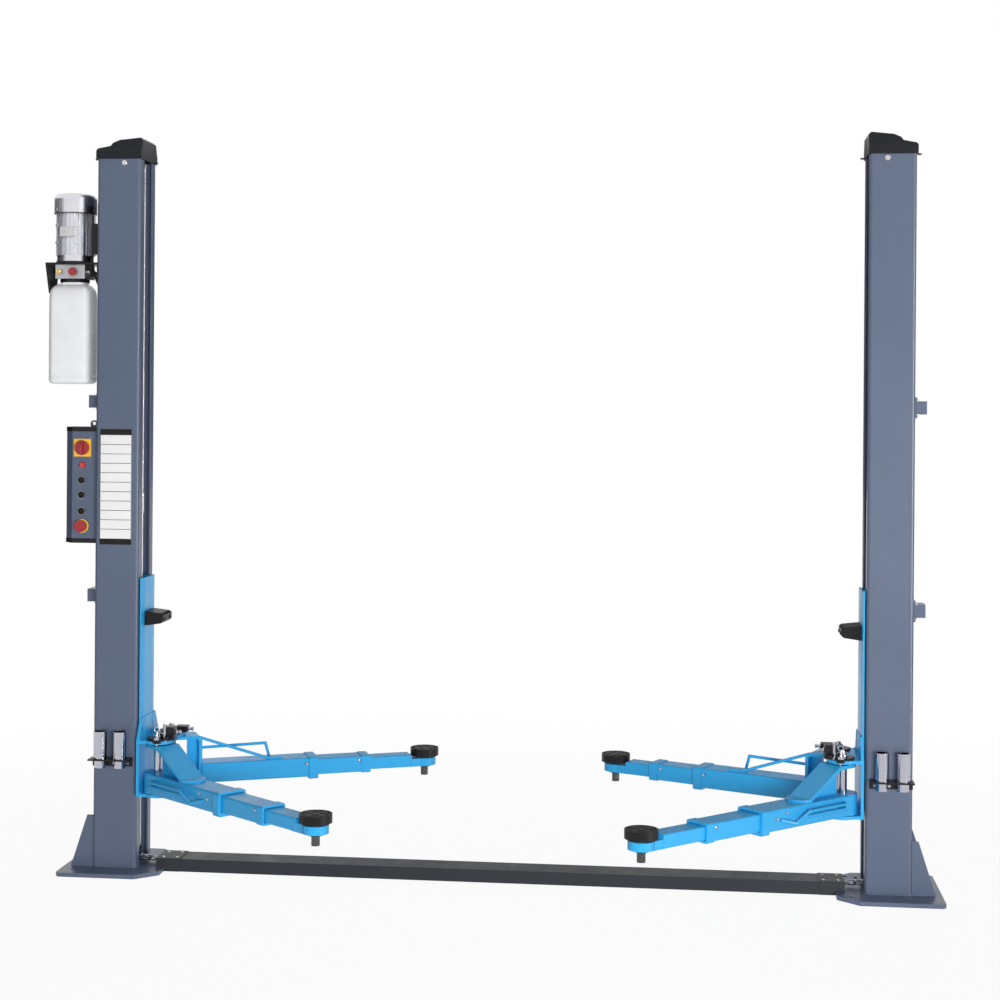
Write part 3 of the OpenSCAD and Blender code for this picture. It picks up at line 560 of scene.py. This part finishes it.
def make_ruled_plate():
    """A bare white plate with dark bands and ruled rows."""
    left, right = PLATE_X
    low, high = PLATE_Z
    face = COLUMN_FRONT - 0.0001
    middle = (left + right) / 2
    width = right - left
    plate = Piece("ruled_plate", "frame", "column_paint", WHITE)
    plate.block((middle, face - 0.0005, (low + high) / 2), (width, 0.0010, high - low), 0.0003)
    plate.done()
    lines = Piece("ruled_plate_lines", "frame", "black_plastic", LINES)
    front = face - 0.0010
    for z in (low + PLATE_BAND / 2, high - PLATE_BAND / 2):
        lines.block((middle, front, z), (width, 0.0006, PLATE_BAND), 0.0001)
    ruled = high - low - 2 * PLATE_BAND
    for i in range(1, PLATE_ROWS):
        z = low + PLATE_BAND + i * (ruled / PLATE_ROWS)
        lines.block((middle, front, z), (width - 0.006, 0.0004, 0.0022), 0.0001)
    for x in (left + 0.0012, right - 0.0012):
        lines.block((x, front, (low + high) / 2), (0.0018, 0.0004, ruled), 0.0001)
    lines.done()


# Power unit

motor_low, motor_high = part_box("motor")
MOTOR_X = (motor_low[0] + motor_high[0]) / 2
FAN_R = (motor_high[0] - motor_low[0]) / 2
FAN_TOP = motor_high[2]
FAN_LOW = FAN_TOP - 0.078
MOTOR_LOW = motor_low[2]
FLANGE_BOLT_R = 0.066
NAMEPLATE = (0.062, 0.0016, 0.040)
block_low, block_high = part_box("valve_block")
VALVE_Z = (block_low[2] + block_high[2]) / 2
VALVE_STEP = 0.0108
CHEEK_X = MOTOR_X + 0.0860
tank_low, tank_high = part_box("oil_tank")
TANK_W = 0.165
TANK_D = 0.132
TANK_CORNER = 0.026
NECK_R = 0.0550
NECK_H = 0.018


def make_fan_details():
    grille = Piece("fan_grille", "frame", "bracket_paint")
    for r in (0.014, 0.026, 0.038, 0.050):
        grille.ring((MOTOR_X, 0, FAN_TOP - 0.0002), Z, r - 0.003, r + 0.003, 0, 0.0014)
    for angle in range(0, 360, 45):
        spoke = turned(angle)
        grille.block(Vector((MOTOR_X, 0, FAN_TOP + 0.0006)) + spoke @ Vector((0.032, 0, 0)),
                     (0.042, 0.003, 0.0014), 0.0003, spoke)
    grille.ring((MOTOR_X, 0, FAN_LOW), Z, FAN_R - 0.0060, FAN_R + 0.0004, -0.0012, 0.0022)
    grille.done()
    screws = Piece("motor_screws", "frame", "steel")
    for angle in (50, 130, 230, 310):
        out = turned(angle) @ X
        screws.screw(Vector((MOTOR_X, 0, FAN_LOW + 0.014)) + out * (FAN_R - 0.0004), out, 0.0046, 0.0028)
    for angle in (45, 135, 225, 315):
        out = turned(angle) @ X
        screws.bolt(Vector((MOTOR_X, 0, MOTOR_LOW - 0.0002)) + out * FLANGE_BOLT_R, Z, 0.010, 0.007)
    screws.done()


def make_right_cheek():
    """The bracket's cheek beside the column, cut away where the hoses pass."""
    piece = Piece("bracket_cheek", "frame", "bracket_paint")
    low, high = block_low[2] + 0.004, block_high[2] + 0.002
    for y, depth in ((-0.0560, 0.0280), (0.0430, 0.0540)):
        piece.block((CHEEK_X, y, (low + high) / 2), (0.0080, depth, high - low), 0.0012)
    piece.done()


def make_motor_plate():
    """The motor's bare plate, with no words on it."""
    piece = Piece("motor_plate", "frame", "steel")
    centre = Vector((MOTOR_X - 0.006, -0.0768, (MOTOR_LOW + FAN_LOW) / 2 + 0.02))
    piece.block(centre, NAMEPLATE, 0.0005)
    for x in (-0.027, 0.027):
        for z in (-0.016, 0.016):
            at = centre + Vector((x, -NAMEPLATE[1] / 2, z))
            piece.lathe(at, -Y, [(0.002, 0), (0.0017, 0.0008), (0.0006, 0.0011)], 12)
    piece.done()


def make_valve_fittings():
    front = block_low[1]
    left, right = block_low[0], block_high[0]
    brass = Piece("valve_plug", "frame", "steel", BRASS)
    brass.bolt((left + 0.016, front - 0.0002, VALVE_Z), -Y, 0.0190, 0.0075, 1.2)
    brass.done()
    cap = Piece("valve_cap", "frame", "switch_red")
    cap.lathe((left + 0.0715, front + VALVE_STEP, VALVE_Z), -Y, [
        (0.0154, 0), (0.0158, 0.002), (0.0158, 0.0135), (0.0146, 0.0155), (0.0075, 0.0155),
        (0.0068, 0.0148)], 18)
    cap.done()
    fittings = Piece("valve_fittings", "frame", "chrome")
    hose_rows = ((-0.030, 0.062), (0.0, 0.040))
    for y, _ in hose_rows:
        at = Vector((right - 0.0215, y, VALVE_Z))
        fittings.lathe(at, X, [(0.0098, 0), (0.0112, 0.001), (0.0112, 0.010), (0.0098, 0.011)], 6)
        fittings.lathe(at, X, [(0.0094, 0.011), (0.0094, 0.019), (0.0086, 0.0205), (0.005, 0.0205)], 20)
    for x in (-0.030, 0.004, 0.038):
        fittings.screw((MOTOR_X + x, front + VALVE_STEP + 0.0001, VALVE_Z - 0.019), -Y, 0.0042, 0.0030)
    fittings.done()
    hose = Piece("valve_hose", "frame", "black_rubber", HOSE)
    wall = 0.002 - OUTER_FACE
    for y, drop in hose_rows:
        start = Vector((right - 0.004, y, VALVE_Z))
        route = [start, start + Vector((0.010, 0, -0.004)), start + Vector((0.020, 0, -drop * 0.45)),
                 Vector((wall - 0.016, y, VALVE_Z - drop * 0.85)), Vector((wall, y, VALVE_Z - drop))]
        hose.sweep(curve_through(route), 0.0050, 12)
    hose.done()


def make_tank():
    """A blow moulded tank: soft upright corners, round feet, high round shoulders and a neck."""
    foot = tank_low[2]
    shoulder = tank_high[2] - NECK_H
    rise = shoulder - foot
    middle = Vector((tank_low[0] + TANK_W / 2, 0, 0))
    neck_at = Vector((MOTOR_X, 0, 0))
    levels = [(0.0, 0.014), (0.0030, 0.0060), (0.0080, 0.0018), (0.014, 0.0), (0.030, 0.0), (0.034, 0.0012),
              (0.038, 0.0), (rise - 0.060, 0.0), (rise - 0.034, 0.0022), (rise - 0.020, 0.0075),
              (rise - 0.009, 0.0165), (rise - 0.003, 0.0270)]
    loops = []
    for z, inset in levels:
        r = max(TANK_CORNER - inset * 0.5, 0.010)
        w = TANK_W / 2 - inset - r
        d = TANK_D / 2 - inset - r
        loop = []
        for start, x, y in ((0, w, d), (90, -w, d), (180, -w, -d), (270, w, -d)):
            for k in range(9):
                a = math.radians(start + 90 * k / 8)
                loop.append(middle + Vector((x + r * math.cos(a), y + r * math.sin(a), foot + z)))
        loops.append(loop)
    for z in (shoulder, shoulder + NECK_H - 0.001):
        loop = []
        for point in loops[0]:
            away = point - middle
            a = math.atan2(away.y * TANK_W / TANK_D, away.x)
            loop.append(neck_at + Vector((NECK_R * math.cos(a), NECK_R * math.sin(a), z)))
        loops.append(loop)
    tank = Piece("tank_shell", "frame", "tank_plastic")
    tank.skin(loops)
    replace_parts(tank.done(), "oil_tank")
    seam = Piece("tank_seam", "frame", "tank_plastic")
    for half in (-TANK_W / 2, TANK_W / 2):
        seam.block((middle.x + half, 0, (foot + shoulder) / 2), (0.0016, 0.0014, rise - 0.070), 0.0004)
    seam.done()
    neck = Piece("tank_neck_ring", "frame", "bracket_paint")
    neck.ring((MOTOR_X, 0, shoulder), Z, NECK_R - 0.0010, NECK_R + 0.0022, 0.004, 0.0175)
    neck.done()


# Control box

box_low, box_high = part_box("control_box")
PANEL_FRONT = box_low[1]
PANEL_X = -OUTER_FACE - 0.066
BOX_LOW = box_low[2]
BOX_H = 0.455
BOX_FOLD = 0.034
RIM_H = 0.0180
SWITCH_Z = BOX_LOW + 0.374
LAMP_Z = BOX_LOW + 0.306
BUTTON_Z = (BOX_LOW + 0.247, BOX_LOW + 0.189, BOX_LOW + 0.125)
STOP_Z = BOX_LOW + 0.066


def make_box_rims():
    """Folded lids that close the box at its top and foot."""
    piece = Piece("box_rims", "frame", "bracket_paint")
    proud = 0.0012
    right = -OUTER_FACE - 0.0002
    left = box_low[0] - proud
    front = PANEL_FRONT - proud
    back = box_high[1] + proud
    points = [(left + BOX_FOLD, front), (left, front + BOX_FOLD), (left, back), (right, back), (right, front)]
    for low in (BOX_LOW - 0.0010, BOX_LOW + BOX_H + 0.0010 - RIM_H):
        piece.outline(points, low, low + RIM_H, 0.0008)
    piece.done()


def make_box_controls():
    yellow = Piece("switch_plate", "frame", "switch_red", YELLOW)
    yellow.block((PANEL_X, PANEL_FRONT - 0.0009, SWITCH_Z), (0.070, 0.0018, 0.070), 0.0006)
    yellow.ring((PANEL_X, PANEL_FRONT, STOP_Z), -Y, 0.0095, 0.0272, 0, 0.0030)
    yellow.done()
    lamp = Piece("box_lamp", "frame", "switch_red", LAMP_RED)
    lamp.lathe((PANEL_X, PANEL_FRONT, LAMP_Z), -Y, [
        (0.0130, 0), (0.0130, 0.003), (0.0120, 0.007), (0.0090, 0.0105), (0.0045, 0.0125), (0.0008, 0.0130)])
    lamp.done()
    rings = Piece("button_rings", "frame", "chrome")
    for z in BUTTON_Z:
        rings.ring((PANEL_X, PANEL_FRONT, z), -Y, 0.0139, 0.0162, 0, 0.0110)
    rings.done()
    marks = Piece("switch_marks", "main_switch", "button_black")
    marks.block((PANEL_X, PANEL_FRONT - 0.0261, SWITCH_Z + 0.018), (0.0030, 0.0008, 0.0120), 0.0002)
    marks.done()


# Carriages with their guards, pins and locks

pins_low, pins_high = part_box("arm_pins_right")
PIVOT_X = (pins_low[0] + pins_high[0]) / 2
PIVOT_Y = pins_high[1] - 0.024
PIN_TOP = pins_high[2]
PLATE_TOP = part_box("arm_locks_right")[0][2]
guard_low, guard_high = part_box("door_guard_right")
GUARD_MIDDLE = (guard_low[2] + guard_high[2]) / 2
EYE_HALF = 0.126
EYE_SEAMS = ((0.3125, 1), (0.5055, -1), (0.5185, 1))
RIB_Y = 0.052
RIB_FOOT = 0.520
RIB_TOP = 0.598
PULL_X = PIVOT_X - 0.011
PULL_Y = -0.1485
PULL_FOOT = 0.484
PULL_NUT = 0.526
PULL_RING = 0.567
KNOB_X = PIVOT_X - 0.0665


def make_carriage_details(side):
    s = SIDES[side]
    body = "carriage_" + side
    steel = Piece("pin_caps_" + side, body, "steel")
    for y in (-PIVOT_Y, PIVOT_Y):
        steel.ring((s * PIVOT_X, y, PIN_TOP - 0.0095), Z, 0.0180, 0.0215, 0, 0.0030)
        steel.bolt((s * PIVOT_X, y, PIN_TOP - 0.0002), Z, 0.0170, 0.0100, 1.5)
    steel.done()
    dark = Piece("guard_bolts_" + side, body, "bracket_paint")
    for y in (-0.036, 0.036):
        dark.bolt((s * (guard_low[0] + 0.0004), y, GUARD_MIDDLE - 0.003), -X * s, 0.0110, 0.0040, 1.4)
    dark.done()
    seams = Piece("carriage_welds_" + side, body, "arm_paint")
    plate_x = s * (INNER_FACE - 0.0195)
    for z, facing in EYE_SEAMS:
        height = z + 0.001 * facing
        seams.bead([(plate_x, -EYE_HALF, height), (plate_x, EYE_HALF, height)], 0.0034)
    for y in (-RIB_Y, RIB_Y):
        seams.bead([(s * (INNER_FACE - 0.0185), y, RIB_FOOT),
                    (s * (INNER_FACE - 0.0190), y, RIB_TOP)], 0.0026)
    seams.done()


def make_lock_pulls(side):
    """A pull rod with a ring at the front lock, a stop beside it, and a knob on each lock."""
    s = SIDES[side]
    body = "carriage_" + side
    bright = Piece("lock_pulls_" + side, body, "chrome")
    pull_x = s * PULL_X
    bright.lathe((pull_x, PULL_Y, PULL_FOOT), Z, [
        (0.0030, 0), (0.0042, 0.002), (0.0042, 0.020), (0.0060, 0.021), (0.0060, 0.028), (0.0042, 0.029),
        (0.0042, 0.072), (0.0030, 0.075)], 16)
    bright.lathe((pull_x, PULL_Y, PULL_NUT), Z, [
        (0.0088, 0), (0.0110, 0.001), (0.0110, 0.009), (0.0088, 0.010)], 6)
    bright.sweep(loop_in_plane((pull_x, PULL_Y, PULL_RING), X, Z, 0.0095), 0.0021, 8, closed=True)
    bright.lathe((s * (PIVOT_X - 0.032), -PIVOT_Y - 0.0280, PLATE_TOP - 0.0005), Z, [
        (0.0080, 0), (0.0080, 0.004), (0.0058, 0.005), (0.0058, 0.058), (0.0066, 0.059), (0.0066, 0.064),
        (0.0046, 0.066)], 20)
    for y, rise in ((PIVOT_Y, 0.0120), (-PIVOT_Y, 0.0300)):
        bright.lathe((s * KNOB_X, y, PLATE_TOP + rise), -X * s, [
            (0.0065, 0), (0.0090, 0.002), (0.0090, 0.006), (0.0050, 0.008), (0.0050, 0.014), (0.0078, 0.017),
            (0.0078, 0.022), (0.0050, 0.024)], 20)
    bright.done()
    guide = Piece("lock_guide_" + side, body, "bracket_paint")
    guide.block((pull_x, -0.1440, PLATE_TOP + 0.0012), (0.030, 0.022, 0.0120), 0.0012)
    guide.done()


# Arms

ARM_LOW = 0.314
TUBE_W = 0.112
TUBE_H = 0.078
TUBE_TOP = ARM_LOW + TUBE_H
TUBE_STEP = 0.0063
MIDDLE_HALF = 0.0485
INNER_HALF = 0.040
COLLAR = 0.036
BEND = 0.008
STRAP_FOOT = 0.231
STRAP_R = 0.050
KEEL_Y = 0.0045
YOKE = 0.116
YOKE_RIB_Y = 0.0110
STOP_DEPTH = 0.0045
BOSS_REACH = 0.0665
BOSS_WAIST = 0.3595
PAD_SCREW_R = 0.01525
PAD_THREAD = 0.0036
THREAD_FOOT = 0.2878
THREAD_TOP = 0.3580


class Arm:
    """Places points by the distance along the arm, the distance to its outer side and the height."""

    def __init__(self, side, end):
        self.key = side + "_" + end
        self.front = end == "front"
        s = SIDES[side]
        e = -1 if self.front else 1
        low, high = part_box("pad_" + self.key)
        self.pivot = Vector((s * PIVOT_X, e * PIVOT_Y, 0))
        pad = Vector(((low[0] + high[0]) / 2, (low[1] + high[1]) / 2, 0))
        self.reach = (pad - self.pivot).length
        self.along = (pad - self.pivot).normalized()
        self.out = Vector((-self.along.y, self.along.x, 0))
        if self.out.y * e < 0:
            self.out = -self.out
        self.turn = Matrix((self.along, self.out, Z)).transposed()
        self.outer_end = self.end_of("outer_arm_")
        self.middle_end = self.end_of("middle_arm_")

    def end_of(self, node):
        vertices = frame["nodes"][node + self.key].data.vertices
        return max((v.co - self.pivot).dot(self.along) for v in vertices)

    def at(self, u, v, z):
        return self.pivot + self.along * u + self.out * v + Z * z

    def around(self, u, half_w, low, high, bend=BEND):
        """Corners of a rounded square loop round a tube."""
        return [self.at(u, v, z) for v, z in (
            (-half_w + bend, low), (half_w - bend, low), (half_w, low + bend), (half_w, high - bend),
            (half_w - bend, high), (-half_w + bend, high), (-half_w, high - bend), (-half_w, low + bend))]


def make_outer_arm_details(arm):
    """Weld beads round the collar and the strap or yoke, and the screws that stop the middle arm."""
    half = TUBE_W / 2
    grow = 0.0006
    welds = Piece("outer_welds_" + arm.key, "outer_arm_" + arm.key, "arm_paint")
    collar = arm.around(arm.outer_end - COLLAR - 0.0005, half + grow, ARM_LOW - grow, TUBE_TOP + grow)
    welds.bead(collar, 0.0024, closed=True)
    if arm.front:
        strap_foot = arm.at(STRAP_FOOT, 0, TUBE_TOP + 0.0005)
        round_foot = loop_in_plane(strap_foot, arm.along, arm.out, STRAP_R + 0.0005, 24, -80, 80)
        welds.bead(round_foot, 0.0030, 0.006)
        for v in (-1, 1):
            edge = v * (STRAP_R + 0.001)
            keel = v * KEEL_Y
            welds.bead([arm.at(0.150, edge, 0.4395), arm.at(0.220, edge, 0.3990)], 0.0022)
            welds.bead([arm.at(0.052, keel, TUBE_TOP + 0.001), arm.at(0.200, keel, TUBE_TOP + 0.001)], 0.0026)
    else:
        welds.bead(arm.around(YOKE + 0.0010, half, ARM_LOW, TUBE_TOP), 0.0032, closed=True)
        for v in (-YOKE_RIB_Y, YOKE_RIB_Y):
            welds.bead([arm.at(YOKE - 0.0135, v, 0.330), arm.at(YOKE - 0.0135, v, 0.488)], 0.0026)
    welds.done()
    stops = Piece("outer_stops_" + arm.key, "outer_arm_" + arm.key, "chrome")
    back, z = (0.080, 0.358) if arm.front else (0.047, 0.369)
    wall = half if arm.front else half + 0.006
    for v in (-1, 1):
        side = arm.out * v
        stops.lathe(arm.at(arm.outer_end - back, v * (wall - STOP_DEPTH), z), side, [
            (0.0062, 0), (0.0062, STOP_DEPTH + 0.0015), (0.0050, STOP_DEPTH + 0.0032),
            (0.0022, STOP_DEPTH + 0.0034), (0.0018, STOP_DEPTH + 0.0022)], 20)
        if arm.front:
            stops.lathe(arm.at(arm.outer_end - 0.131, v * (half - STOP_DEPTH), 0.373), side, [
                (0.0044, 0), (0.0044, STOP_DEPTH + 0.001), (0.0034, STOP_DEPTH + 0.002),
                (0.0014, STOP_DEPTH + 0.0021)], 16)
    stops.done()


def make_middle_arm_details(arm):
    """The screws that stop the inner arm."""
    piece = Piece("middle_stops_" + arm.key, "middle_arm_" + arm.key, "chrome")
    z = ARM_LOW + TUBE_STEP + 0.048
    for v in (-1, 1):
        at = arm.at(arm.middle_end - COLLAR - 0.012, v * (MIDDLE_HALF - STOP_DEPTH), z)
        piece.lathe(at, arm.out * v, [
            (0.0062, 0), (0.0062, STOP_DEPTH - 0.0002), (0.0050, STOP_DEPTH + 0.0006),
            (0.0018, STOP_DEPTH + 0.0007)], 20)
    piece.done()


def make_inner_arm_details(arm):
    """Weld beads where the tube meets the boss, and the sleeve at the boss's foot."""
    low = ARM_LOW + 2 * TUBE_STEP
    tube_end = arm.reach - BOSS_REACH
    side = INNER_HALF - 0.001
    corner = INNER_HALF - 0.008
    welds = Piece("inner_welds_" + arm.key, "inner_arm_" + arm.key, "arm_paint")
    welds.bead([arm.at(tube_end + 0.0005, v, z) for v, z in (
        (-side, BOSS_WAIST), (-side, low + 0.008), (-corner, low), (corner, low), (side, low + 0.008),
        (side, BOSS_WAIST))], 0.0022)
    welds.bead([arm.at(tube_end, v, 0.3612) for v in (0.003 - INNER_HALF, INNER_HALF - 0.003)], 0.0026)
    welds.done()
    sleeve = Piece("boss_sleeve_" + arm.key, "inner_arm_" + arm.key, "black_rubber")
    sleeve.lathe(arm.at(arm.reach, 0, 0), Z, [
        (0.0160, 0.3222), (0.0262, 0.3222), (0.0274, 0.3236), (0.0274, 0.3290), (0.0160, 0.3290),
        (0.0160, 0.3222)], 40)
    sleeve.done()


def make_pad_details(arm):
    """A bright neck under the disc, and the screw's thread."""
    body = "pad_" + arm.key
    neck = Piece("pad_neck_" + arm.key, body, "chrome")
    neck.lathe(arm.at(arm.reach, 0, 0), Z, [
        (0.0160, 0.3606), (0.0192, 0.3606), (0.0196, 0.3612), (0.0196, 0.3668), (0.0230, 0.3678),
        (0.0160, 0.3678), (0.0160, 0.3606)], 40)
    neck.done()
    post = Piece("pad_post_" + arm.key, body, "steel", DARK_STEEL)
    profile = [(0.0120, 0.2856), (0.0140, 0.2858)]
    z = THREAD_FOOT
    while z < THREAD_TOP:
        profile += [(PAD_SCREW_R, z), (PAD_SCREW_R, z + PAD_THREAD * 0.4),
                    (PAD_SCREW_R - 0.0002, z + PAD_THREAD * 0.7)]
        z += PAD_THREAD
    profile += [(0.0151, 0.3596)]
    post.lathe(arm.at(arm.reach, 0, 0), Z, profile, 32)
    post.done()


make_axle_ends()
make_column_welds()
make_lock_cover_bolts()
make_rack_bolts()
make_cover_screws()
make_cross_fittings()
make_ruled_plate()
make_fan_details()
make_right_cheek()
make_motor_plate()
make_valve_fittings()
make_tank()
make_box_rims()
make_box_controls()
for side in SIDES:
    make_carriage_details(side)
    make_lock_pulls(side)
    for end in ("front", "rear"):
        arm = Arm(side, end)
        make_outer_arm_details(arm)
        make_middle_arm_details(arm)
        make_inner_arm_details(arm)
        make_pad_details(arm)


# The photograph's camera, and a white room lit from the front

CAMERA_AT = (0.7453, -6.9114, 1.8599)
CAMERA_YAW = 0.1056
CAMERA_ROLL = 0.00749
FOCAL_PIXELS = 1794.2
CENTRE_X = 501.9
CENTRE_Y = 398.0
IMAGE = 1000.0


def make_camera():
    data = bpy.data.cameras.new("camera")
    data.sensor_width = 36.0
    data.lens = FOCAL_PIXELS * data.sensor_width / IMAGE
    data.shift_x = (IMAGE / 2 - CENTRE_X) / IMAGE
    data.shift_y = (CENTRE_Y - IMAGE / 2) / IMAGE
    data.clip_end = 100.0
    camera = bpy.data.objects.new("camera", data)
    bpy.context.scene.collection.objects.link(camera)
    turn = (Matrix.Rotation(CAMERA_YAW, 4, "Z") @ Matrix.Rotation(math.pi / 2, 4, "X")
            @ Matrix.Rotation(CAMERA_ROLL, 4, "Z"))
    camera.matrix_world = Matrix.Translation(CAMERA_AT) @ turn
    bpy.context.scene.camera = camera


def make_lamp(name, at, toward, size, watts, gloss_only=False):
    """A softbox, or a lamp that is seen only in gloss and lights nothing else."""
    data = bpy.data.lights.new(name, "AREA")
    data.shape = "RECTANGLE"
    data.size, data.size_y = size
    data.energy = watts
    lamp = bpy.data.objects.new(name, data)
    bpy.context.scene.collection.objects.link(lamp)
    lamp.location = at
    lamp.rotation_euler = (Vector(toward) - Vector(at)).to_track_quat("-Z", "Y").to_euler()
    lamp.visible_glossy = gloss_only
    lamp.visible_diffuse = not gloss_only
    lamp.visible_transmission = not gloss_only


def white_to_sight(tree, shader_out, into, share):
    """Mixes a white glow over a shader for rays from the camera, from metal and through glass."""
    glow = tree.nodes.new("ShaderNodeEmission")
    glow.inputs["Color"].default_value = (1, 1, 1, 1)
    glow.inputs["Strength"].default_value = 1.0
    path = tree.nodes.new("ShaderNodeLightPath")
    seen = path.outputs["Is Camera Ray"]
    for name in ("Is Glossy Ray", "Is Transmission Ray"):
        either = tree.nodes.new("ShaderNodeMath")
        either.operation = "MAXIMUM"
        tree.links.new(seen, either.inputs[0])
        tree.links.new(path.outputs[name], either.inputs[1])
        seen = either.outputs[0]
    mixed = tree.nodes.new("ShaderNodeMixShader")
    amount = tree.nodes.new("ShaderNodeMath")
    amount.operation = "MULTIPLY"
    tree.links.new(seen, amount.inputs[0])
    if isinstance(share, float):
        amount.inputs[1].default_value = share
    else:
        tree.links.new(share, amount.inputs[1])
    tree.links.new(amount.outputs[0], mixed.inputs[0])
    tree.links.new(shader_out, mixed.inputs[1])
    tree.links.new(glow.outputs[0], mixed.inputs[2])
    tree.links.new(mixed.outputs[0], into)


AMBIENT = 0.20
NEAR_SHARE = 0.93
FADE_FROM = 2.2
FADE_TO = 4.2
FLOOR_REACH = 30.0


def make_sky():
    world = bpy.data.worlds.new("white room")
    bpy.context.scene.world = world
    world.use_nodes = True
    tree = world.node_tree
    sky = tree.nodes["Background"]
    sky.inputs["Color"].default_value = (1, 1, 1, 1)
    sky.inputs["Strength"].default_value = AMBIENT
    white_to_sight(tree, sky.outputs[0], tree.nodes["World Output"].inputs["Surface"], 1.0)


def make_floor():
    """A white floor that keeps the shadow near the lift and fades to pure white farther out."""
    r = FLOOR_REACH
    mesh = bpy.data.meshes.new("floor")
    mesh.from_pydata([(-r, -r, 0), (r, -r, 0), (r, r, 0), (-r, r, 0)], [], [(0, 1, 2, 3)])
    floor = bpy.data.objects.new("floor", mesh)
    bpy.context.scene.collection.objects.link(floor)
    floor.location.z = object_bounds()[0][2] - 0.0005
    n = Nodes("pale floor")
    n.link(n.ramp(n.noise(0.7, 3.0), [(0.3, grey(0.86)), (0.7, grey(0.90))]), n.shader.inputs["Base Color"])
    n.shader.inputs["Roughness"].default_value = 0.9
    n.shader.inputs["Specular IOR Level"].default_value = 0.1
    coords = n.add("ShaderNodeTexCoord")
    far = n.add("ShaderNodeVectorMath", operation="LENGTH")
    n.link(coords.outputs["Object"], far.inputs[0])
    fade = n.add("ShaderNodeMapRange")
    fade.inputs["From Min"].default_value = FADE_FROM
    fade.inputs["From Max"].default_value = FADE_TO
    fade.inputs["To Min"].default_value = NEAR_SHARE
    fade.inputs["To Max"].default_value = 1.0
    n.link(far.outputs["Value"], fade.inputs["Value"])
    white_to_sight(n.tree, n.shader.outputs[0], n.tree.nodes["Material Output"].inputs["Surface"],
                   fade.outputs["Result"])
    mesh.materials.append(n.material)


def make_flag(name, corners):
    """A dark cloth beside or behind the lift, seen only in its gloss, which gives metal its contrast."""
    mesh = bpy.data.meshes.new(name)
    mesh.from_pydata(corners, [], [(0, 1, 2, 3)])
    flag = bpy.data.objects.new(name, mesh)
    bpy.context.scene.collection.objects.link(flag)
    n = Nodes(name + " cloth")
    n.link(n.ramp(n.noise(1.5, 3.0), [(0.3, grey(0.010)), (0.7, grey(0.014))]), n.shader.inputs["Base Color"])
    n.shader.inputs["Roughness"].default_value = 1.0
    n.shader.inputs["Specular IOR Level"].default_value = 0.0
    mesh.materials.append(n.material)
    flag.visible_camera = False
    flag.visible_diffuse = False
    flag.visible_transmission = False
    flag.visible_shadow = False


def upright(x0, y0, x1, y1, low=0.0, high=3.4):
    """Corners of an upright sheet between two points of the floor plan."""
    return [(x0, y0, low), (x1, y1, low), (x1, y1, high), (x0, y0, high)]


bpy.context.scene.view_settings.view_transform = "Standard"
make_camera()
make_sky()
make_floor()
make_lamp("edge strip", (5.6, -3.0, 1.5), (0, 0, 1.5), (0.7, 3.2), 340, gloss_only=True)
make_flag("back flag", upright(-1.7, 4.0, 1.7, 4.0, 1.3))
make_flag("left flag", upright(-6.5, 4.0, -6.5, -4.0))
make_flag("right flag", upright(6.5, -4.0, 6.5, 4.0))
make_lamp("key softbox", (1.9, -6.5, 1.1), (0.1, 0, 1.1), (3.2, 1.8), 450)
make_lamp("back fill", (0.0, 6.5, 3.0), (0, 0, 1.0), (5.0, 2.5), 260)
